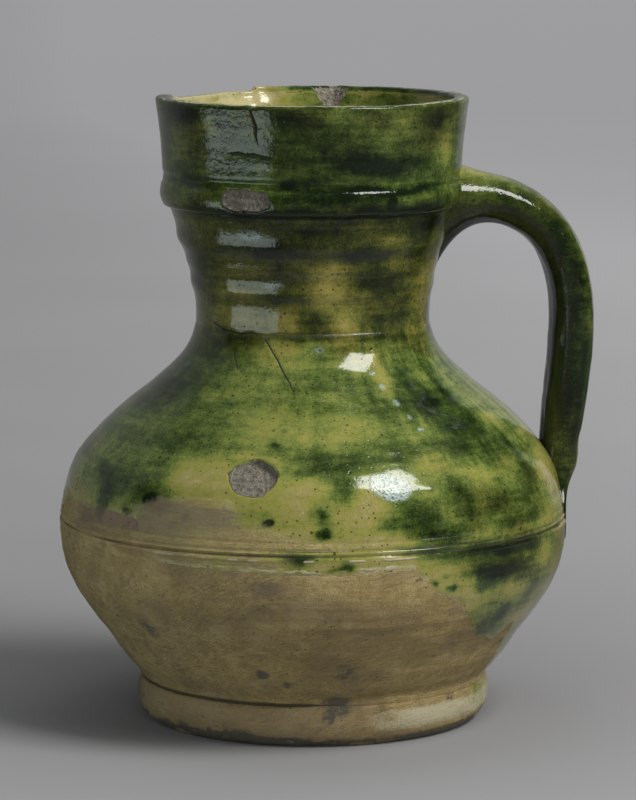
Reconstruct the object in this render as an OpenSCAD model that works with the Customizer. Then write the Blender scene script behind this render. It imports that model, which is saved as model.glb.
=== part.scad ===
// Lead-glazed earthenware jug: a thrown body with a luted foot and neck and a pulled strap handle.
// Origin at the middle of the underside, +Z up, handle toward +X, sizes in millimetres.

/* [Body] */
// Height of the thrown body, from the table to the seam with the neck
body_h = 115; // [106:1:124]
// Height of the widest line of the belly
belly_level = 58; // [52:1:64]
// Clay diameter of the belly at its widest
belly_d = 146.4; // [136:1:158]
// Clay diameter of the waist just above the foot
waist_d = 100.8; // [96:1:106]
// Thickness of the floor
floor_t = 6; // [4.5:0.5:9]
// Wall thickness of the body
body_wall = 4.6; // [3.6:0.2:6]
// Level of the deep scored groove round the belly
groove_level = 59.5; // [56:0.5:62]
// Distance from the deep groove up to the fine one
groove_step = 4.2; // [3:0.2:6]
// Depth of the deep groove
groove_depth = 0.9; // [0.4:0.1:1.4]

/* [Foot] */
// How far the foot stands out past the waist above it
foot_out = 0.6; // [0.2:0.2:4]
// Height of the foot ring
foot_h = 12.4; // [10:0.2:15]
// How far the foot tucks in from its widest to the flat on which it stands
foot_tuck = 4.5; // [3:0.5:6]
// Width of the ring's flat, out from the thrown floor
stand_w = 1.5; // [1:0.5:3]

/* [Neck] */
// Height of the neck, from the seam to the rim
neck_h = 65; // [58:1:74]
// Clay diameter of the neck at its narrowest
neck_d = 66.4; // [60:1:74]
// Clay diameter of the collar just above the cordon
collar_d = 85.2; // [80:1:92]
// Clay diameter of the rim
rim_d = 89.4; // [84:1:98]
// Wall thickness of the neck
neck_wall = 4; // [3:0.2:5.4]
// Thickness of the lip
lip_t = 3.4; // [2.6:0.2:4.4]
// Distance from the rim down to the middle of the cordon
cordon_drop = 27.4; // [24:0.2:31]
// Width of the cordon
cordon_w = 7.6; // [6:0.4:11]
// How far the cordon stands out from the collar
cordon_out = 0.8; // [0.4:0.1:2]

/* [Handle] */
// How far the handle stands out past the belly
handle_out = 8.4; // [5:0.2:16]
// Distance from the rim down to the middle of the upper root
root_drop = 29; // [25:0.2:32]
// Distance from the rim down to where the handle is farthest out
bend_drop = 65.5; // [60:0.5:72]
// Height of the tip of the tail on the belly
tail_level = 46; // [40:1:50]
// Thickness of the strap
strap_t = 12.4; // [9:0.2:14]
// Width of the strap at the upper root
strap_top_w = 24; // [18:0.5:28]
// Width of the strap halfway down
strap_w = 19.5; // [15:0.5:24]
// Radius of the collar of clay round the upper root
root_r = 14.6; // [13:0.2:17]
// How far that collar runs out along the strap
root_reach = 13; // [10:0.5:16]
// Thickness of the clay thumbed down round the tail
thumb_t = 1.2; // [0.8:0.1:1.4]
// Width of the thumbed clay round the tail
thumb_w = 29; // [26:0.5:33]

/* [Glaze] */
// Thickness of the green glaze
glaze_t = 0.4; // [0.3:0.05:0.7]
// Thickness of the clear glaze inside
lining_t = 0.3; // [0.2:0.05:0.5]
// Level of the lower edge of the green glaze
glaze_level = 54.5; // [50:0.5:57]
// Width of the band of bare clay worn free along the lip
worn_lip = 1.6; // [1:0.2:3]

/* [Hidden] */

// Sides of a full turn
$fn = 180;

height = body_h + neck_h;
belly_r = belly_d / 2;
neck_r = neck_d / 2;
waist_r = waist_d / 2;
collar_r = collar_d / 2;
rim_r = rim_d / 2;
foot_r = waist_r + foot_out;
stand_r = foot_r - foot_tuck;
floor_r = stand_r - stand_w;
cordon_level = height - cordon_drop;
root_level = height - root_drop;
bend_level = height - bend_drop;
lip_level = height - lip_t / 2;
cordon_bottom = cordon_level - cordon_w / 2;
cordon_top = cordon_level + cordon_w / 2;

// The thrown curves, as [share of the height, share of the swell] from the narrow end of each
waist_to_belly = [[0, 0], [0.045, 0.015], [0.12, 0.15], [0.34, 0.465], [0.48, 0.675], [0.61, 0.83],
    [0.74, 0.935], [0.87, 0.988], [1, 1]];
belly_to_neck = [[0, 1], [0.14, 0.965], [0.28, 0.9], [0.39, 0.795], [0.555, 0.56], [0.73, 0.252],
    [0.87, 0.07], [1, 0]];
neck_to_collar = [[0, 0], [0.16, 0.035], [0.34, 0.165], [0.54, 0.405], [0.7, 0.635], [0.86, 0.84], [1, 1]];
collar_to_rim = [[0, 0], [0.3, 0.14], [0.65, 0.5], [1, 1]];

// Share of the swell at a share u of the height, by a smooth curve through the stations
function station_slope(s, i) =
    i == 0 ? (s[1][1] - s[0][1]) / (s[1][0] - s[0][0])
    : i == len(s) - 1 ? (s[i][1] - s[i - 1][1]) / (s[i][0] - s[i - 1][0])
    : (s[i + 1][1] - s[i - 1][1]) / (s[i + 1][0] - s[i - 1][0]);
function station_before(s, u, i = 0) = i >= len(s) - 2 || u < s[i + 1][0] ? i : station_before(s, u, i + 1);
function swell(s, u) =
    let (
        i = station_before(s, u),
        run = s[i + 1][0] - s[i][0],
        t = (u - s[i][0]) / run
    )
    s[i][1] * (2 * t ^ 3 - 3 * t ^ 2 + 1)
    + run * station_slope(s, i) * (t ^ 3 - 2 * t ^ 2 + t)
    + s[i + 1][1] * (3 * t ^ 2 - 2 * t ^ 3)
    + run * station_slope(s, i + 1) * (t ^ 3 - t ^ 2);

// Radius of the thrown wall at height z, without the cordon and the grooves
function thrown_r(z) =
    z < belly_level ? waist_r + (belly_r - waist_r) * swell(waist_to_belly, (z - foot_h) / (belly_level - foot_h))
    : z < body_h ? neck_r + (belly_r - neck_r) * swell(belly_to_neck, (z - belly_level) / (body_h - belly_level))
    : z < cordon_top ? neck_r + (collar_r - neck_r) * swell(neck_to_collar, (z - body_h) / (cordon_top - body_h))
    : collar_r + (rim_r - collar_r) * swell(collar_to_rim, (z - cordon_top) / (height - cordon_top));

// The cordon is a round roll, and each groove is a notch with straight sides
groove_half = 1.1;
fine_share = 0.45;
fine_level = groove_level + groove_step;
function cordon_r(z) =
    let (u = (z - cordon_level) / (cordon_w / 2))
    collar_r - cordon_out + 2 * cordon_out * sqrt(max(0, 1 - u ^ 2));
function notch(z, level, depth) = depth * max(0, 1 - abs(z - level) / groove_half);
function clay_r(z) =
    z >= cordon_bottom && z <= cordon_top ? max(thrown_r(z), cordon_r(z))
    : thrown_r(z) - notch(z, groove_level, groove_depth) - notch(z, fine_level, groove_depth * fine_share);

// Heights at which each outline has a point: an even step, with the grooves' corners set in
outline_step = 3;
cordon_step = 1;
function steps(from, to, step) =
    let (n = max(1, round((to - from) / step)))
    [for (i = [0 : n]) from + (to - from) * i / n];
groove_corners = [groove_level - groove_half, groove_level, groove_level + groove_half,
    fine_level - groove_half, fine_level, fine_level + groove_half];
body_heights = concat(steps(foot_h, groove_corners[0], outline_step), [groove_corners[1], groove_corners[2]],
    [groove_corners[3], groove_corners[4]], steps(groove_corners[5], body_h, outline_step));
neck_heights = concat(steps(body_h, cordon_bottom, outline_step),
    [for (z = steps(cordon_bottom, cordon_top, cordon_step)) if (z > cordon_bottom) z],
    [for (z = steps(cordon_top, lip_level, outline_step)) if (z > cordon_top) z]);

// The wall is measured square to its surface, so a sloping shoulder is wider across than the neck
lean_span = 0.5;
function lean(z) = (thrown_r(z + lean_span) - thrown_r(z - lean_span)) / (2 * lean_span);
function across(z, t) = t * sqrt(1 + lean(z) ^ 2);
function wall_t(z) =
    z < body_h ? body_wall + (neck_wall - body_wall) * max(0, (z - belly_level) / (body_h - belly_level))
    : neck_wall + (lip_t - neck_wall) * (z - body_h) / (height - body_h);
function bore_r(z) = thrown_r(z) - across(min(z, lip_level), wall_t(z));
function coat_r(z, t) = clay_r(z) + across(z, t);

// Below this height the inside rounds into the floor, which is flat well inside the ring's seat
turn_h = 14;
turn_inside = 13.5;
turn_level = floor_t + turn_h;
floor_edge_r = floor_r - turn_inside;
floor_turn = [for (a = [0 : 15 : 75])
    [floor_edge_r + (bore_r(turn_level) - floor_edge_r) * sin(a), turn_level - (turn_level - floor_t) * cos(a)]];
inside_heights = steps(turn_level, body_h, outline_step);

// Outline of the whole pot as one solid, used to trim whatever is pressed onto it
module pot_outline(grow = 0) {
    polygon(concat(
        [[0, 0]],
        foot_side(grow),
        [for (z = body_heights) if (z > foot_h) [coat_r(z, grow), z]],
        [for (z = neck_heights) if (z > body_h) [coat_r(z, grow), z]],
        [[0, lip_level]]
    ));
}

module pot_solid(grow = 0) {
    rotate_extrude() pot_outline(grow);
}

// Side of the foot ring from the table up: a worn edge, a full round and a nip at the seam
function foot_side(grow = 0) = [
    [stand_r + grow, 0],
    [foot_r - foot_tuck * 0.28 + grow, foot_h * 0.16],
    [foot_r - foot_tuck * 0.06 + grow, foot_h * 0.36],
    [foot_r + grow, foot_h * 0.58],
    [foot_r - foot_out * 0.3 + grow, foot_h * 0.82],
    [waist_r + grow, foot_h]
];
// Inner face of the ring, where it is pressed against the thrown floor
seat_level = foot_h * 0.4;

// The strap's centre line: out from the neck, over the bend and down onto the belly
bend_x = belly_r + handle_out - strap_t / 2;
root_x = clay_r(root_level);
tail_bite = 0.2;
tail_x = thrown_r(tail_level) - tail_bite;
// Each end's pull on the curve: how far it leads the line on before the line turns away
root_inside = 8;
root_lead = 18;
root_rise = 3.6;
bend_lead = 26;
bend_follow = 23;
tail_lead = 28;
tail_draw = 3;
over_bend = [[root_x - root_inside, root_level], [root_x + root_lead, root_level + root_rise],
    [bend_x, bend_level + bend_lead], [bend_x, bend_level]];
down_tail = [[bend_x, bend_level], [bend_x, bend_level - bend_follow],
    [tail_x - tail_draw, tail_level + tail_lead], [tail_x, tail_level]];
function bezier(p, t) =
    p[0] * (1 - t) ^ 3 + p[1] * 3 * t * (1 - t) ^ 2 + p[2] * 3 * t ^ 2 * (1 - t) + p[3] * t ^ 3;
bezier_steps = 17;
strap_path = concat(
    [for (i = [0 : bezier_steps - 1]) bezier(over_bend, i / bezier_steps)],
    [for (i = [0 : bezier_steps]) bezier(down_tail, i / bezier_steps)]
);
strap_last = len(strap_path) - 1;
function strap_heading(i) =
    let (d = strap_path[min(i + 1, strap_last)] - strap_path[max(i - 1, 0)])
    d / norm(d);

// Width and thickness along the strap: wide at the root, drawn in, then thumbed to a thin tip
function blend(t) = t <= 0 ? 0 : t >= 1 ? 1 : t * t * (3 - 2 * t);
drawn_from = 0.62;
thumbed_from = 0.82;
drawn_share = 0.13;
thumbed_share = 0.55;
tail_spread = 2;
function strap_wide(u) =
    strap_w + (strap_top_w - strap_w) * (1 - blend(u / 0.55))
    + tail_spread * blend((u - thumbed_from) / (1 - thumbed_from));
function strap_thick(u) =
    strap_t * (1 - drawn_share * blend((u - drawn_from) / (thumbed_from - drawn_from))
    - thumbed_share * blend((u - thumbed_from) / (1 - thumbed_from)));

// Section of the strap: a full round outer face, rounded edges and a flatter inner face
section_sides = 20;
function signed_power(v, p) = sign(v) * abs(v) ^ p;
function strap_ring(i, grow) =
    let (
        u = i / strap_last,
        along = strap_heading(i),
        out = [-along[1], along[0]],
        half_t = strap_thick(u) / 2 + grow,
        half_w = strap_wide(u) / 2 + grow
    )
    [for (k = [0 : section_sides - 1])
        let (
            a = 360 * k / section_sides,
            n = half_t * signed_power(cos(a), cos(a) > 0 ? 0.95 : 0.62),
            p = strap_path[i] + out * n
        )
        [p[0], half_w * signed_power(sin(a), 0.85), p[1]]
    ];
function ring_sides(rings, sides) = [
    for (i = [0 : rings - 2], k = [0 : sides - 1])
        let (a = i * sides + k, b = i * sides + (k + 1) % sides)
        each [[a, b, a + sides], [b, b + sides, a + sides]]
];

module strap_sweep(grow = 0, first = 0, last = strap_last) {
    rings = last - first + 1;
    points = [for (i = [first : last]) each strap_ring(i, grow)];
    start_cap = [for (k = [section_sides - 1 : -1 : 0]) k];
    end_cap = [for (k = [0 : section_sides - 1]) (rings - 1) * section_sides + k];
    polyhedron(points, concat(ring_sides(rings, section_sides), [start_cap, end_cap]));
}

// A round bar that points out of the wall at a compass angle (0 faces the handle) and a height
module spoke(angle, level, radius) {
    rotate([0, 0, angle])
        translate([belly_r / 4, 0, level])
            rotate([0, 90, 0])
                cylinder(h = belly_r, r = radius);
}

module belly() {
    color("#8a7a4c")
        rotate_extrude()
            polygon(concat(
                [[0, 0], [floor_r, 0], [floor_r, seat_level]],
                [for (z = body_heights) [clay_r(z), z]],
                [[bore_r(body_h), body_h]],
                [for (i = [len(inside_heights) - 2 : -1 : 0]) [bore_r(inside_heights[i]), inside_heights[i]]],
                [for (i = [len(floor_turn) - 1 : -1 : 0]) floor_turn[i]],
                [[0, floor_t]]
            ));
}

// Damage that shows the bare clay: a chip out of the rim and one off the cordon
rim_chip_angle = 77;
rim_chip_r = 5.2;
cordon_chip_angle = 239;
cordon_chip_r = 7.5;
cordon_chip_depth = 1.5;

module neck() {
    lip_heights = [for (z = neck_heights) if (z < lip_level) z];
    color("#75803c")
        difference() {
            rotate_extrude()
                polygon(concat(
                    [for (z = lip_heights) [clay_r(z), z]],
                    lip_round(),
                    [for (i = [len(lip_heights) - 1 : -1 : 0]) [bore_r(lip_heights[i]), lip_heights[i]]]
                ));
            rotate([0, 0, rim_chip_angle])
                translate([rim_r, 0, height + rim_chip_r * 0.12])
                    sphere(r = rim_chip_r);
            cordon_chip();
        }
}

// The lip is a half round between the outer and the inner face
function lip_round() =
    let (
        outer = clay_r(lip_level),
        inner = bore_r(lip_level),
        half = (outer - inner) / 2
    )
    [for (a = [0 : 18 : 180]) [inner + half + half * cos(a), lip_level + (height - lip_level) * sin(a)]];

module foot_ring() {
    color("#7d7850")
        rotate_extrude()
            polygon(concat(
                [[floor_r, 0]],
                foot_side(),
                [[floor_r, seat_level]]
            ));
}

module handle() {
    color("#3d4f1c")
        difference() {
            strap_sweep();
            pot_solid();
        }
}

// Clay pressed round the upper root: a trumpet that narrows along the strap, and a smear on the wall
trumpet_back = 6;
trumpet_power = 2.1;
module root_clay() {
    length = root_reach + trumpet_back;
    throat = strap_t / 3;
    trumpet = [for (t = [0 : 0.125 : 1]) [throat + (root_r - throat) * (1 - t) ^ trumpet_power, t * length]];
    translate([root_x - trumpet_back, 0, root_level])
        rotate([0, 90, 0])
            rotate_extrude()
                polygon(concat([[0, 0]], trumpet, [[0, length]]));
    intersection() {
        pot_solid(thumb_t);
        spoke(0, root_level, root_r);
    }
}

module upper_handle_pad() {
    color("#46601f")
        difference() {
            root_clay();
            strap_sweep();
            pot_solid();
        }
}

// Clay thumbed down over the belly on each side of the tail and below its tip, with round ends
thumb_below = 8;
thumb_h = 33;
module thumb_print() {
    half = thumb_w / 2;
    low = tail_level - thumb_below + half;
    high = low + thumb_h - thumb_w;
    outline = concat(
        [for (a = [0 : 15 : 180]) [half * cos(a), high + half * sin(a)]],
        [for (a = [180 : 15 : 360]) [half * cos(a), low + half * sin(a)]]
    );
    intersection() {
        pot_solid(thumb_t);
        translate([belly_r / 2, 0, 0])
            rotate([90, 0, 90])
                linear_extrude(belly_r)
                    polygon(outline);
    }
}

module lower_handle_pad() {
    color("#46601f")
        difference() {
            thumb_print();
            strap_sweep();
            pot_solid();
        }
}

// Runs that hang below the edge of the glaze, and bays where it stopped short, as
// [angle, reach past the edge, radius], with both lengths in shares of a usual run's radius
run_r = 7;
runs = [[262, 0.3, 1], [288, 0.4, 0.85], [302, 1.3, 1.15], [314, 1.7, 1], [327, 1.3, 1.3], [341, 1.7, 1],
    [356, 1, 1], [18, 1.3, 1], [46, 0.6, 1.3], [84, 0.4, 1.15], [121, 0.85, 1.15], [158, 0.3, 1]];
run_reach = 2.3 * run_r;
bays = [[184, 1, 1.3], [194, 1.6, 1.6], [204, 2, 1.7], [214, 1.9, 1.7], [224, 2.3, 1.85], [233, 2.85, 1.85],
    [242, 2.55, 1.85], [251, 1.4, 1.4]];
// The spall on the shoulder, where a flake has come off
spall_angle = 251;
spall_rise = 24.8;
spall_r = 5.8;

module glaze_band(t, bottom) {
    heights = concat(
        [bottom],
        [for (z = body_heights) if (z > bottom) z],
        [for (z = neck_heights) if (z > body_h && z < height - worn_lip - lip_t / 2) z]
    );
    rotate_extrude()
        polygon(concat(
            [for (z = heights) [coat_r(z, t), z]],
            [for (i = [len(heights) - 1 : -1 : 0]) [clay_r(heights[i]), heights[i]]]
        ));
}

module cordon_chip() {
    rotate([0, 0, cordon_chip_angle])
        translate([clay_r(cordon_level) + cordon_chip_r - cordon_chip_depth, 0, cordon_level])
            sphere(r = cordon_chip_r);
}

module outer_glaze() {
    color("#50681f")
        difference() {
            intersection() {
                glaze_band(glaze_t, glaze_level - run_reach);
                union() {
                    translate([0, 0, glaze_level])
                        cylinder(h = height, r = belly_r * 1.2);
                    for (run = runs)
                        spoke(run[0], glaze_level + (run[2] - run[1]) * run_r, run[2] * run_r);
                }
            }
            for (bay = bays)
                spoke(bay[0], glaze_level + (bay[1] - bay[2]) * run_r, bay[2] * run_r);
            spoke(spall_angle, glaze_level + spall_rise, spall_r);
            strap_sweep();
            root_clay();
            thumb_print();
            cordon_chip();
        }
}

// The coat on the strap, from clear of the upper root to just above the belly
coat_first = 7;
coat_last = 26;
module handle_glaze() {
    color("#455c1e")
        difference() {
            strap_sweep(glaze_t, coat_first, coat_last);
            strap_sweep(0, coat_first - 1, coat_last + 1);
        }
}

module inner_glaze() {
    neck_inside = [for (z = neck_heights) if (z > body_h && z < height - worn_lip - lip_t / 2) z];
    heights = concat(inside_heights, neck_inside);
    color("#9a8a3c")
        rotate_extrude()
            polygon(concat(
                [[0, floor_t]],
                floor_turn,
                [for (z = heights) [bore_r(z), z]],
                [for (i = [len(heights) - 1 : -1 : 0]) [bore_r(heights[i]) - across(heights[i], lining_t), heights[i]]],
                [for (i = [len(floor_turn) - 1 : -1 : 0]) floor_turn[i] + lining_t * [-1, 1]],
                [[0, floor_t + lining_t]]
            ));
}

// A splash of glaze that fell on the foot
splash_angle = 335;
splash_level = foot_h * 0.6;
splash_r = 4.6;
splash_floor = 0.5;
module foot_splash() {
    color("#4f6626")
        difference() {
            intersection() {
                rotate_extrude()
                    polygon(concat([[0, splash_floor]], foot_side(glaze_t), [[0, foot_h]]));
                spoke(splash_angle, splash_level, splash_r);
            }
            pot_solid();
        }
}

belly();
neck();
foot_ring();
handle();
upper_handle_pad();
lower_handle_pad();
outer_glaze();
handle_glaze();
inner_glaze();
foot_splash();
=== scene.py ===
# %% [markdown]
# # An old green-glazed jug
# The real jug was thrown on a wheel in buff clay, dipped in a clear lead glaze that stops round the
# belly, and dusted with copper, which turned green in the kiln. This lesson builds what the eye sees
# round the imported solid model: the thrown wall with its ripples, grooves, cracks and chips, the coil
# foot, the pulled strap and the three finishes. Lengths in the functions are millimetres.

import bpy
import numpy as np
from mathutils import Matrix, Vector


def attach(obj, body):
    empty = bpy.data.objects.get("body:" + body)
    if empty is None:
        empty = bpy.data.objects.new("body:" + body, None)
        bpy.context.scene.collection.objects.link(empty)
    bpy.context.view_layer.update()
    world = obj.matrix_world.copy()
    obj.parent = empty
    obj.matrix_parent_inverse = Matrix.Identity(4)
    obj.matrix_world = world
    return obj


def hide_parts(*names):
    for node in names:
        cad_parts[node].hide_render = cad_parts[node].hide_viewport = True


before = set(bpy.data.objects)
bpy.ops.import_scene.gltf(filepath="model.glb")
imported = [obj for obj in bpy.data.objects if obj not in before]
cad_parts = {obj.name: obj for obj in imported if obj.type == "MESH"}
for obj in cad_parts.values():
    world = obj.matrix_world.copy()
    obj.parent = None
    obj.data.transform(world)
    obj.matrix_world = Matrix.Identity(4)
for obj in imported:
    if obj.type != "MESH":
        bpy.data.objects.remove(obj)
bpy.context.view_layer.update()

print("nodes:", sorted(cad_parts))

# %% [markdown]
# ## The camera
# The photograph was taken with a long lens from a little above. The camera's place was worked out from
# the ellipses of rim, groove and foot: 1.19 m from the axis, 0.26 m up, 5 degrees round from the side
# of the handle. The long side of the frame takes the 36 mm sensor.

# %% Place the camera
MM = 0.001
TURN = np.radians(5)
to_right = Vector((np.cos(TURN), -np.sin(TURN), 0))
aim = Vector((0, 0, 91.7 * MM)) + to_right * 1.6 * MM
eye = Vector((-np.sin(TURN), -np.cos(TURN), 0)) * 1190 * MM + to_right * 1.6 * MM
eye.z = 262.5 * MM

camera_data = bpy.data.cameras.new("camera")
camera_data.lens = 187.2
camera_data.sensor_width = 36
camera_data.clip_start = 0.05
camera_data.clip_end = 50
camera = bpy.data.objects.new("camera", camera_data)
camera.location = eye
camera.rotation_euler = (aim - eye).to_track_quat("-Z", "Y").to_euler()
bpy.context.scene.collection.objects.link(camera)
bpy.context.scene.camera = camera
print("camera looks down by", round(float(np.degrees(np.arcsin((eye - aim).z / (eye - aim).length))), 2), "degrees")

# %% [markdown]
# ## A wall laid out on a grid
# Every piece is a grid of points: one way runs round the pot, the other up its side. A small step is
# spent where there is something to see and a longer one at the back. The step is turned into places
# by adding up how many steps each stretch needs and cutting the sum into whole numbers.


# %% Lay out the lines of a grid
def laid_out(start, stop, step_at):
    """Places from start to stop whose spacing is step_at(place): equal cuts of the sum of 1 / step."""
    fine = np.linspace(start, stop, 6001)
    middle = (fine[1:] + fine[:-1]) / 2
    count = np.concatenate([[0], np.cumsum(np.diff(fine) / step_at(middle))])
    cuts = int(np.ceil(count[-1]))
    return np.interp(np.linspace(0, count[-1], cuts + 1), count, fine)


def blend(value, low, high):
    """0 below low, 1 above high, and a smooth S between: 3t^2 - 2t^3."""
    t = np.clip((value - low) / (high - low), 0, 1)
    return t * t * (3 - 2 * t)


def turned(angle, centre):
    """Angle less centre, in degrees between -180 and 180."""
    return (angle - centre + 180) % 360 - 180


FRONT = 265


def round_the_pot(fine_step, side_step, back_step, radius):
    """Angles once round a pot of that radius: fine at the front left, coarser at the right and behind."""
    def step(angle):
        away = turned(angle, FRONT)
        size = fine_step + (side_step - fine_step) * blend(away, 20, 50)
        size = size + (back_step - size) * np.maximum(blend(away, 85, 115), blend(-away, 85, 115))
        return size / radius * 180 / np.pi
    return laid_out(FRONT - 180, FRONT + 180, step)[:-1]


# %% [markdown]
# A grid becomes a mesh by joining each point to its neighbours. The faces are written as whole arrays,
# and a grid that meets itself is joined round. Where a wall closes to a point, a single vertex and a
# fan of triangles close it.


# %% Turn a grid into a mesh
def grid_faces(rows, columns, joined_rows=False):
    """Quads of a grid of rows x columns that is joined round its columns, and round its rows if asked."""
    row = np.arange(rows if joined_rows else rows - 1)[:, None]
    column = np.arange(columns)[None, :]
    after, beside = (row + 1) % rows, (column + 1) % columns
    corners = [row * columns + column, row * columns + beside, after * columns + beside, after * columns + column]
    return np.stack([np.broadcast_to(c, (row.size, columns)) for c in corners], -1).reshape(-1, 4)


def made_mesh(name, points, fields, joined_rows=False, poles=(None, None), sharp=55):
    """A mesh from points in mm (rows, columns, 3), closed by poles, with a value for each point per field."""
    rows, columns = points.shape[:2]
    flat = points.reshape(-1, 3)
    quads = grid_faces(rows, columns, joined_rows)
    fans = []
    values = {key: np.broadcast_to(value, (rows, columns)).ravel() for key, value in fields.items()}
    ring = np.arange(columns)
    for pole, start, flip in ((poles[0], 0, True), (poles[1], (rows - 1) * columns, False)):
        if pole is None:
            continue
        around, following = start + ring, start + (ring + 1) % columns
        tip = np.full(columns, len(flat))
        fans.append(np.stack([tip, following, around] if flip else [tip, around, following], -1))
        flat = np.vstack([flat, pole])
        values = {key: np.append(value, value[start]) for key, value in values.items()}
    loops = np.concatenate([quads.ravel()] + [f.ravel() for f in fans]).astype(np.int32)
    sizes = np.concatenate([np.full(len(quads), 4)] + [np.full(len(f), 3) for f in fans]).astype(np.int32)
    mesh = bpy.data.meshes.new(name)
    mesh.vertices.add(len(flat))
    mesh.vertices.foreach_set("co", (flat * MM).astype(np.float32).ravel())
    mesh.loops.add(len(loops))
    mesh.loops.foreach_set("vertex_index", loops)
    mesh.polygons.add(len(sizes))
    mesh.polygons.foreach_set("loop_start", np.concatenate([[0], np.cumsum(sizes)[:-1]]).astype(np.int32))
    mesh.update(calc_edges=True)
    mesh.polygons.foreach_set("use_smooth", np.ones(len(sizes), bool))
    for key, value in values.items():
        mesh.attributes.new(key, "FLOAT", "POINT").data.foreach_set("value", value.astype(np.float32))
    mesh.set_sharp_from_angle(angle=np.radians(sharp))
    mesh.validate()
    piece = bpy.data.objects.new(name, mesh)
    bpy.context.scene.collection.objects.link(piece)
    print(name, "has", int((sizes - 2).sum()), "triangles")
    return piece


# %% [markdown]
# The pieces carry where each finish lies as numbers on their points. A place without its own number
# gets the plain one: bare clay, unbroken, no crack, no stain, no painted shade or light.

# %% The numbers that a piece carries
PLAIN = {"glaze": -6.0, "thin": 0.0, "copper": 0.5, "iron": 0.3, "broken": -4.0, "mauve": 0.0, "smudge": 0.0,
         "soil": 0.0,
         "worn": 0.0, "bloom": 0.0, "split": 2.0, "split_wide": 0.0, "seam": 2.0, "seam_wide": 0.0}


def numbers(shape, **given):
    """The full set of numbers for a grid of that shape: the given ones, and the plain one for the rest."""
    return {key: np.broadcast_to(given.get(key, value), shape).copy() for key, value in PLAIN.items()}


def padded(fields, before, after, **rest):
    """The numbers of a wall with plain or given values for the rows that come before and after it."""
    width = fields["glaze"].shape[1]
    ends = [numbers((rows, width), **rest) for rows in (before, after)]
    return {key: np.concatenate([ends[0][key], value, ends[1][key]]) for key, value in fields.items()}


# %% [markdown]
# Hand-made things are never quite regular. A soft random field comes from a block of random numbers on
# a cube lattice, blended smoothly between the corners. The block repeats after 32 cells and its numbers
# come from a fixed seed, so every run gives the same pot.


# %% Soft random bumps
def bumps(points, size, seed):
    """A smooth random field from -1 to 1 with bumps of about size: lattice values blended by 3t^2 - 2t^3."""
    block = np.random.default_rng(seed).uniform(-1, 1, (32, 32, 32))
    place = points / np.asarray(size, float) + 512
    cell = np.floor(place).astype(int)
    part = place - cell
    part = part * part * (3 - 2 * part)
    low, high = cell % 32, (cell + 1) % 32
    total = 0
    for corner in range(8):
        pick = [(corner >> axis) & 1 for axis in range(3)]
        index = [np.where(pick[axis], high[..., axis], low[..., axis]) for axis in range(3)]
        share = 1
        for axis in range(3):
            share = share * (part[..., axis] if pick[axis] else 1 - part[..., axis])
        total = total + block[tuple(index)] * share
    return total


def rough(points, size, seed):
    """Bumps on bumps: three fields, each half the size and half the height of the one before."""
    return sum(bumps(points, np.asarray(size, float) / 2**k, seed + k) / 2**k for k in range(3)) / 1.75


# %% [markdown]
# ## The thrown outline
# The outline is the one the solid model is built on: a smooth curve through a few stations, from the
# waist above the foot to the belly, in to the neck, out to the collar and up to the rim. The cordon is
# a round roll between neck and collar.

# %% The outline of the clay
BODY_H, BELLY_LEVEL, BELLY_R, WAIST_R, FOOT_H = 115, 58, 73.2, 50.4, 12.4
HEIGHT, NECK_R, COLLAR_R, RIM_R = 180, 33.2, 42.6, 44.7
CORDON, CORDON_HALF, CORDON_OUT = 152.6, 3.8, 0.8
STATIONS = {
    "waist_to_belly": [(0, 0), (0.045, 0.015), (0.12, 0.15), (0.34, 0.465), (0.48, 0.675), (0.61, 0.83),
                       (0.74, 0.935), (0.87, 0.988), (1, 1)],
    "belly_to_neck": [(0, 1), (0.14, 0.965), (0.28, 0.9), (0.39, 0.795), (0.555, 0.56), (0.73, 0.252),
                      (0.87, 0.07), (1, 0)],
    "neck_to_collar": [(0, 0), (0.16, 0.035), (0.34, 0.165), (0.54, 0.405), (0.7, 0.635), (0.86, 0.84), (1, 1)],
    "collar_to_rim": [(0, 0), (0.3, 0.14), (0.65, 0.5), (1, 1)],
}


def swell(name, share):
    """Share of the swell at a share of the height: a cubic through the stations with their mean slopes."""
    at, to = np.array(STATIONS[name], float).T
    slope = np.empty(len(at))
    slope[1:-1] = (to[2:] - to[:-2]) / (at[2:] - at[:-2])
    slope[0], slope[-1] = (to[1] - to[0]) / (at[1] - at[0]), (to[-1] - to[-2]) / (at[-1] - at[-2])
    i = np.clip(np.searchsorted(at, share, side="right") - 1, 0, len(at) - 2)
    run = at[i + 1] - at[i]
    t = (share - at[i]) / run
    return (to[i] * (2 * t**3 - 3 * t**2 + 1) + run * slope[i] * (t**3 - 2 * t**2 + t)
            + to[i + 1] * (3 * t**2 - 2 * t**3) + run * slope[i + 1] * (t**3 - t**2))


def thrown_radius(level):
    """Radius of the thrown wall, from the waist up, without the cordon."""
    level = np.asarray(level, float)
    top = CORDON + CORDON_HALF
    lower = WAIST_R + (BELLY_R - WAIST_R) * swell("waist_to_belly", (level - FOOT_H) / (BELLY_LEVEL - FOOT_H))
    upper = NECK_R + (BELLY_R - NECK_R) * swell("belly_to_neck", (level - BELLY_LEVEL) / (BODY_H - BELLY_LEVEL))
    neck = NECK_R + (COLLAR_R - NECK_R) * swell("neck_to_collar", (level - BODY_H) / (top - BODY_H))
    collar = COLLAR_R + (RIM_R - COLLAR_R) * swell("collar_to_rim", (level - top) / (HEIGHT - top))
    return np.select([level < BELLY_LEVEL, level < BODY_H, level < top], [lower, upper, neck], collar)


def clay_radius(level):
    """The wall with its cordon: a half-round roll that stands out on both sides of the collar's line."""
    wall = thrown_radius(level)
    share = np.clip((level - CORDON) / CORDON_HALF, -1, 1)
    roll = COLLAR_R - CORDON_OUT + 2 * CORDON_OUT * np.sqrt(1 - share**2)
    return np.where(np.abs(level - CORDON) < CORDON_HALF, np.maximum(wall, roll), wall)


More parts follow.
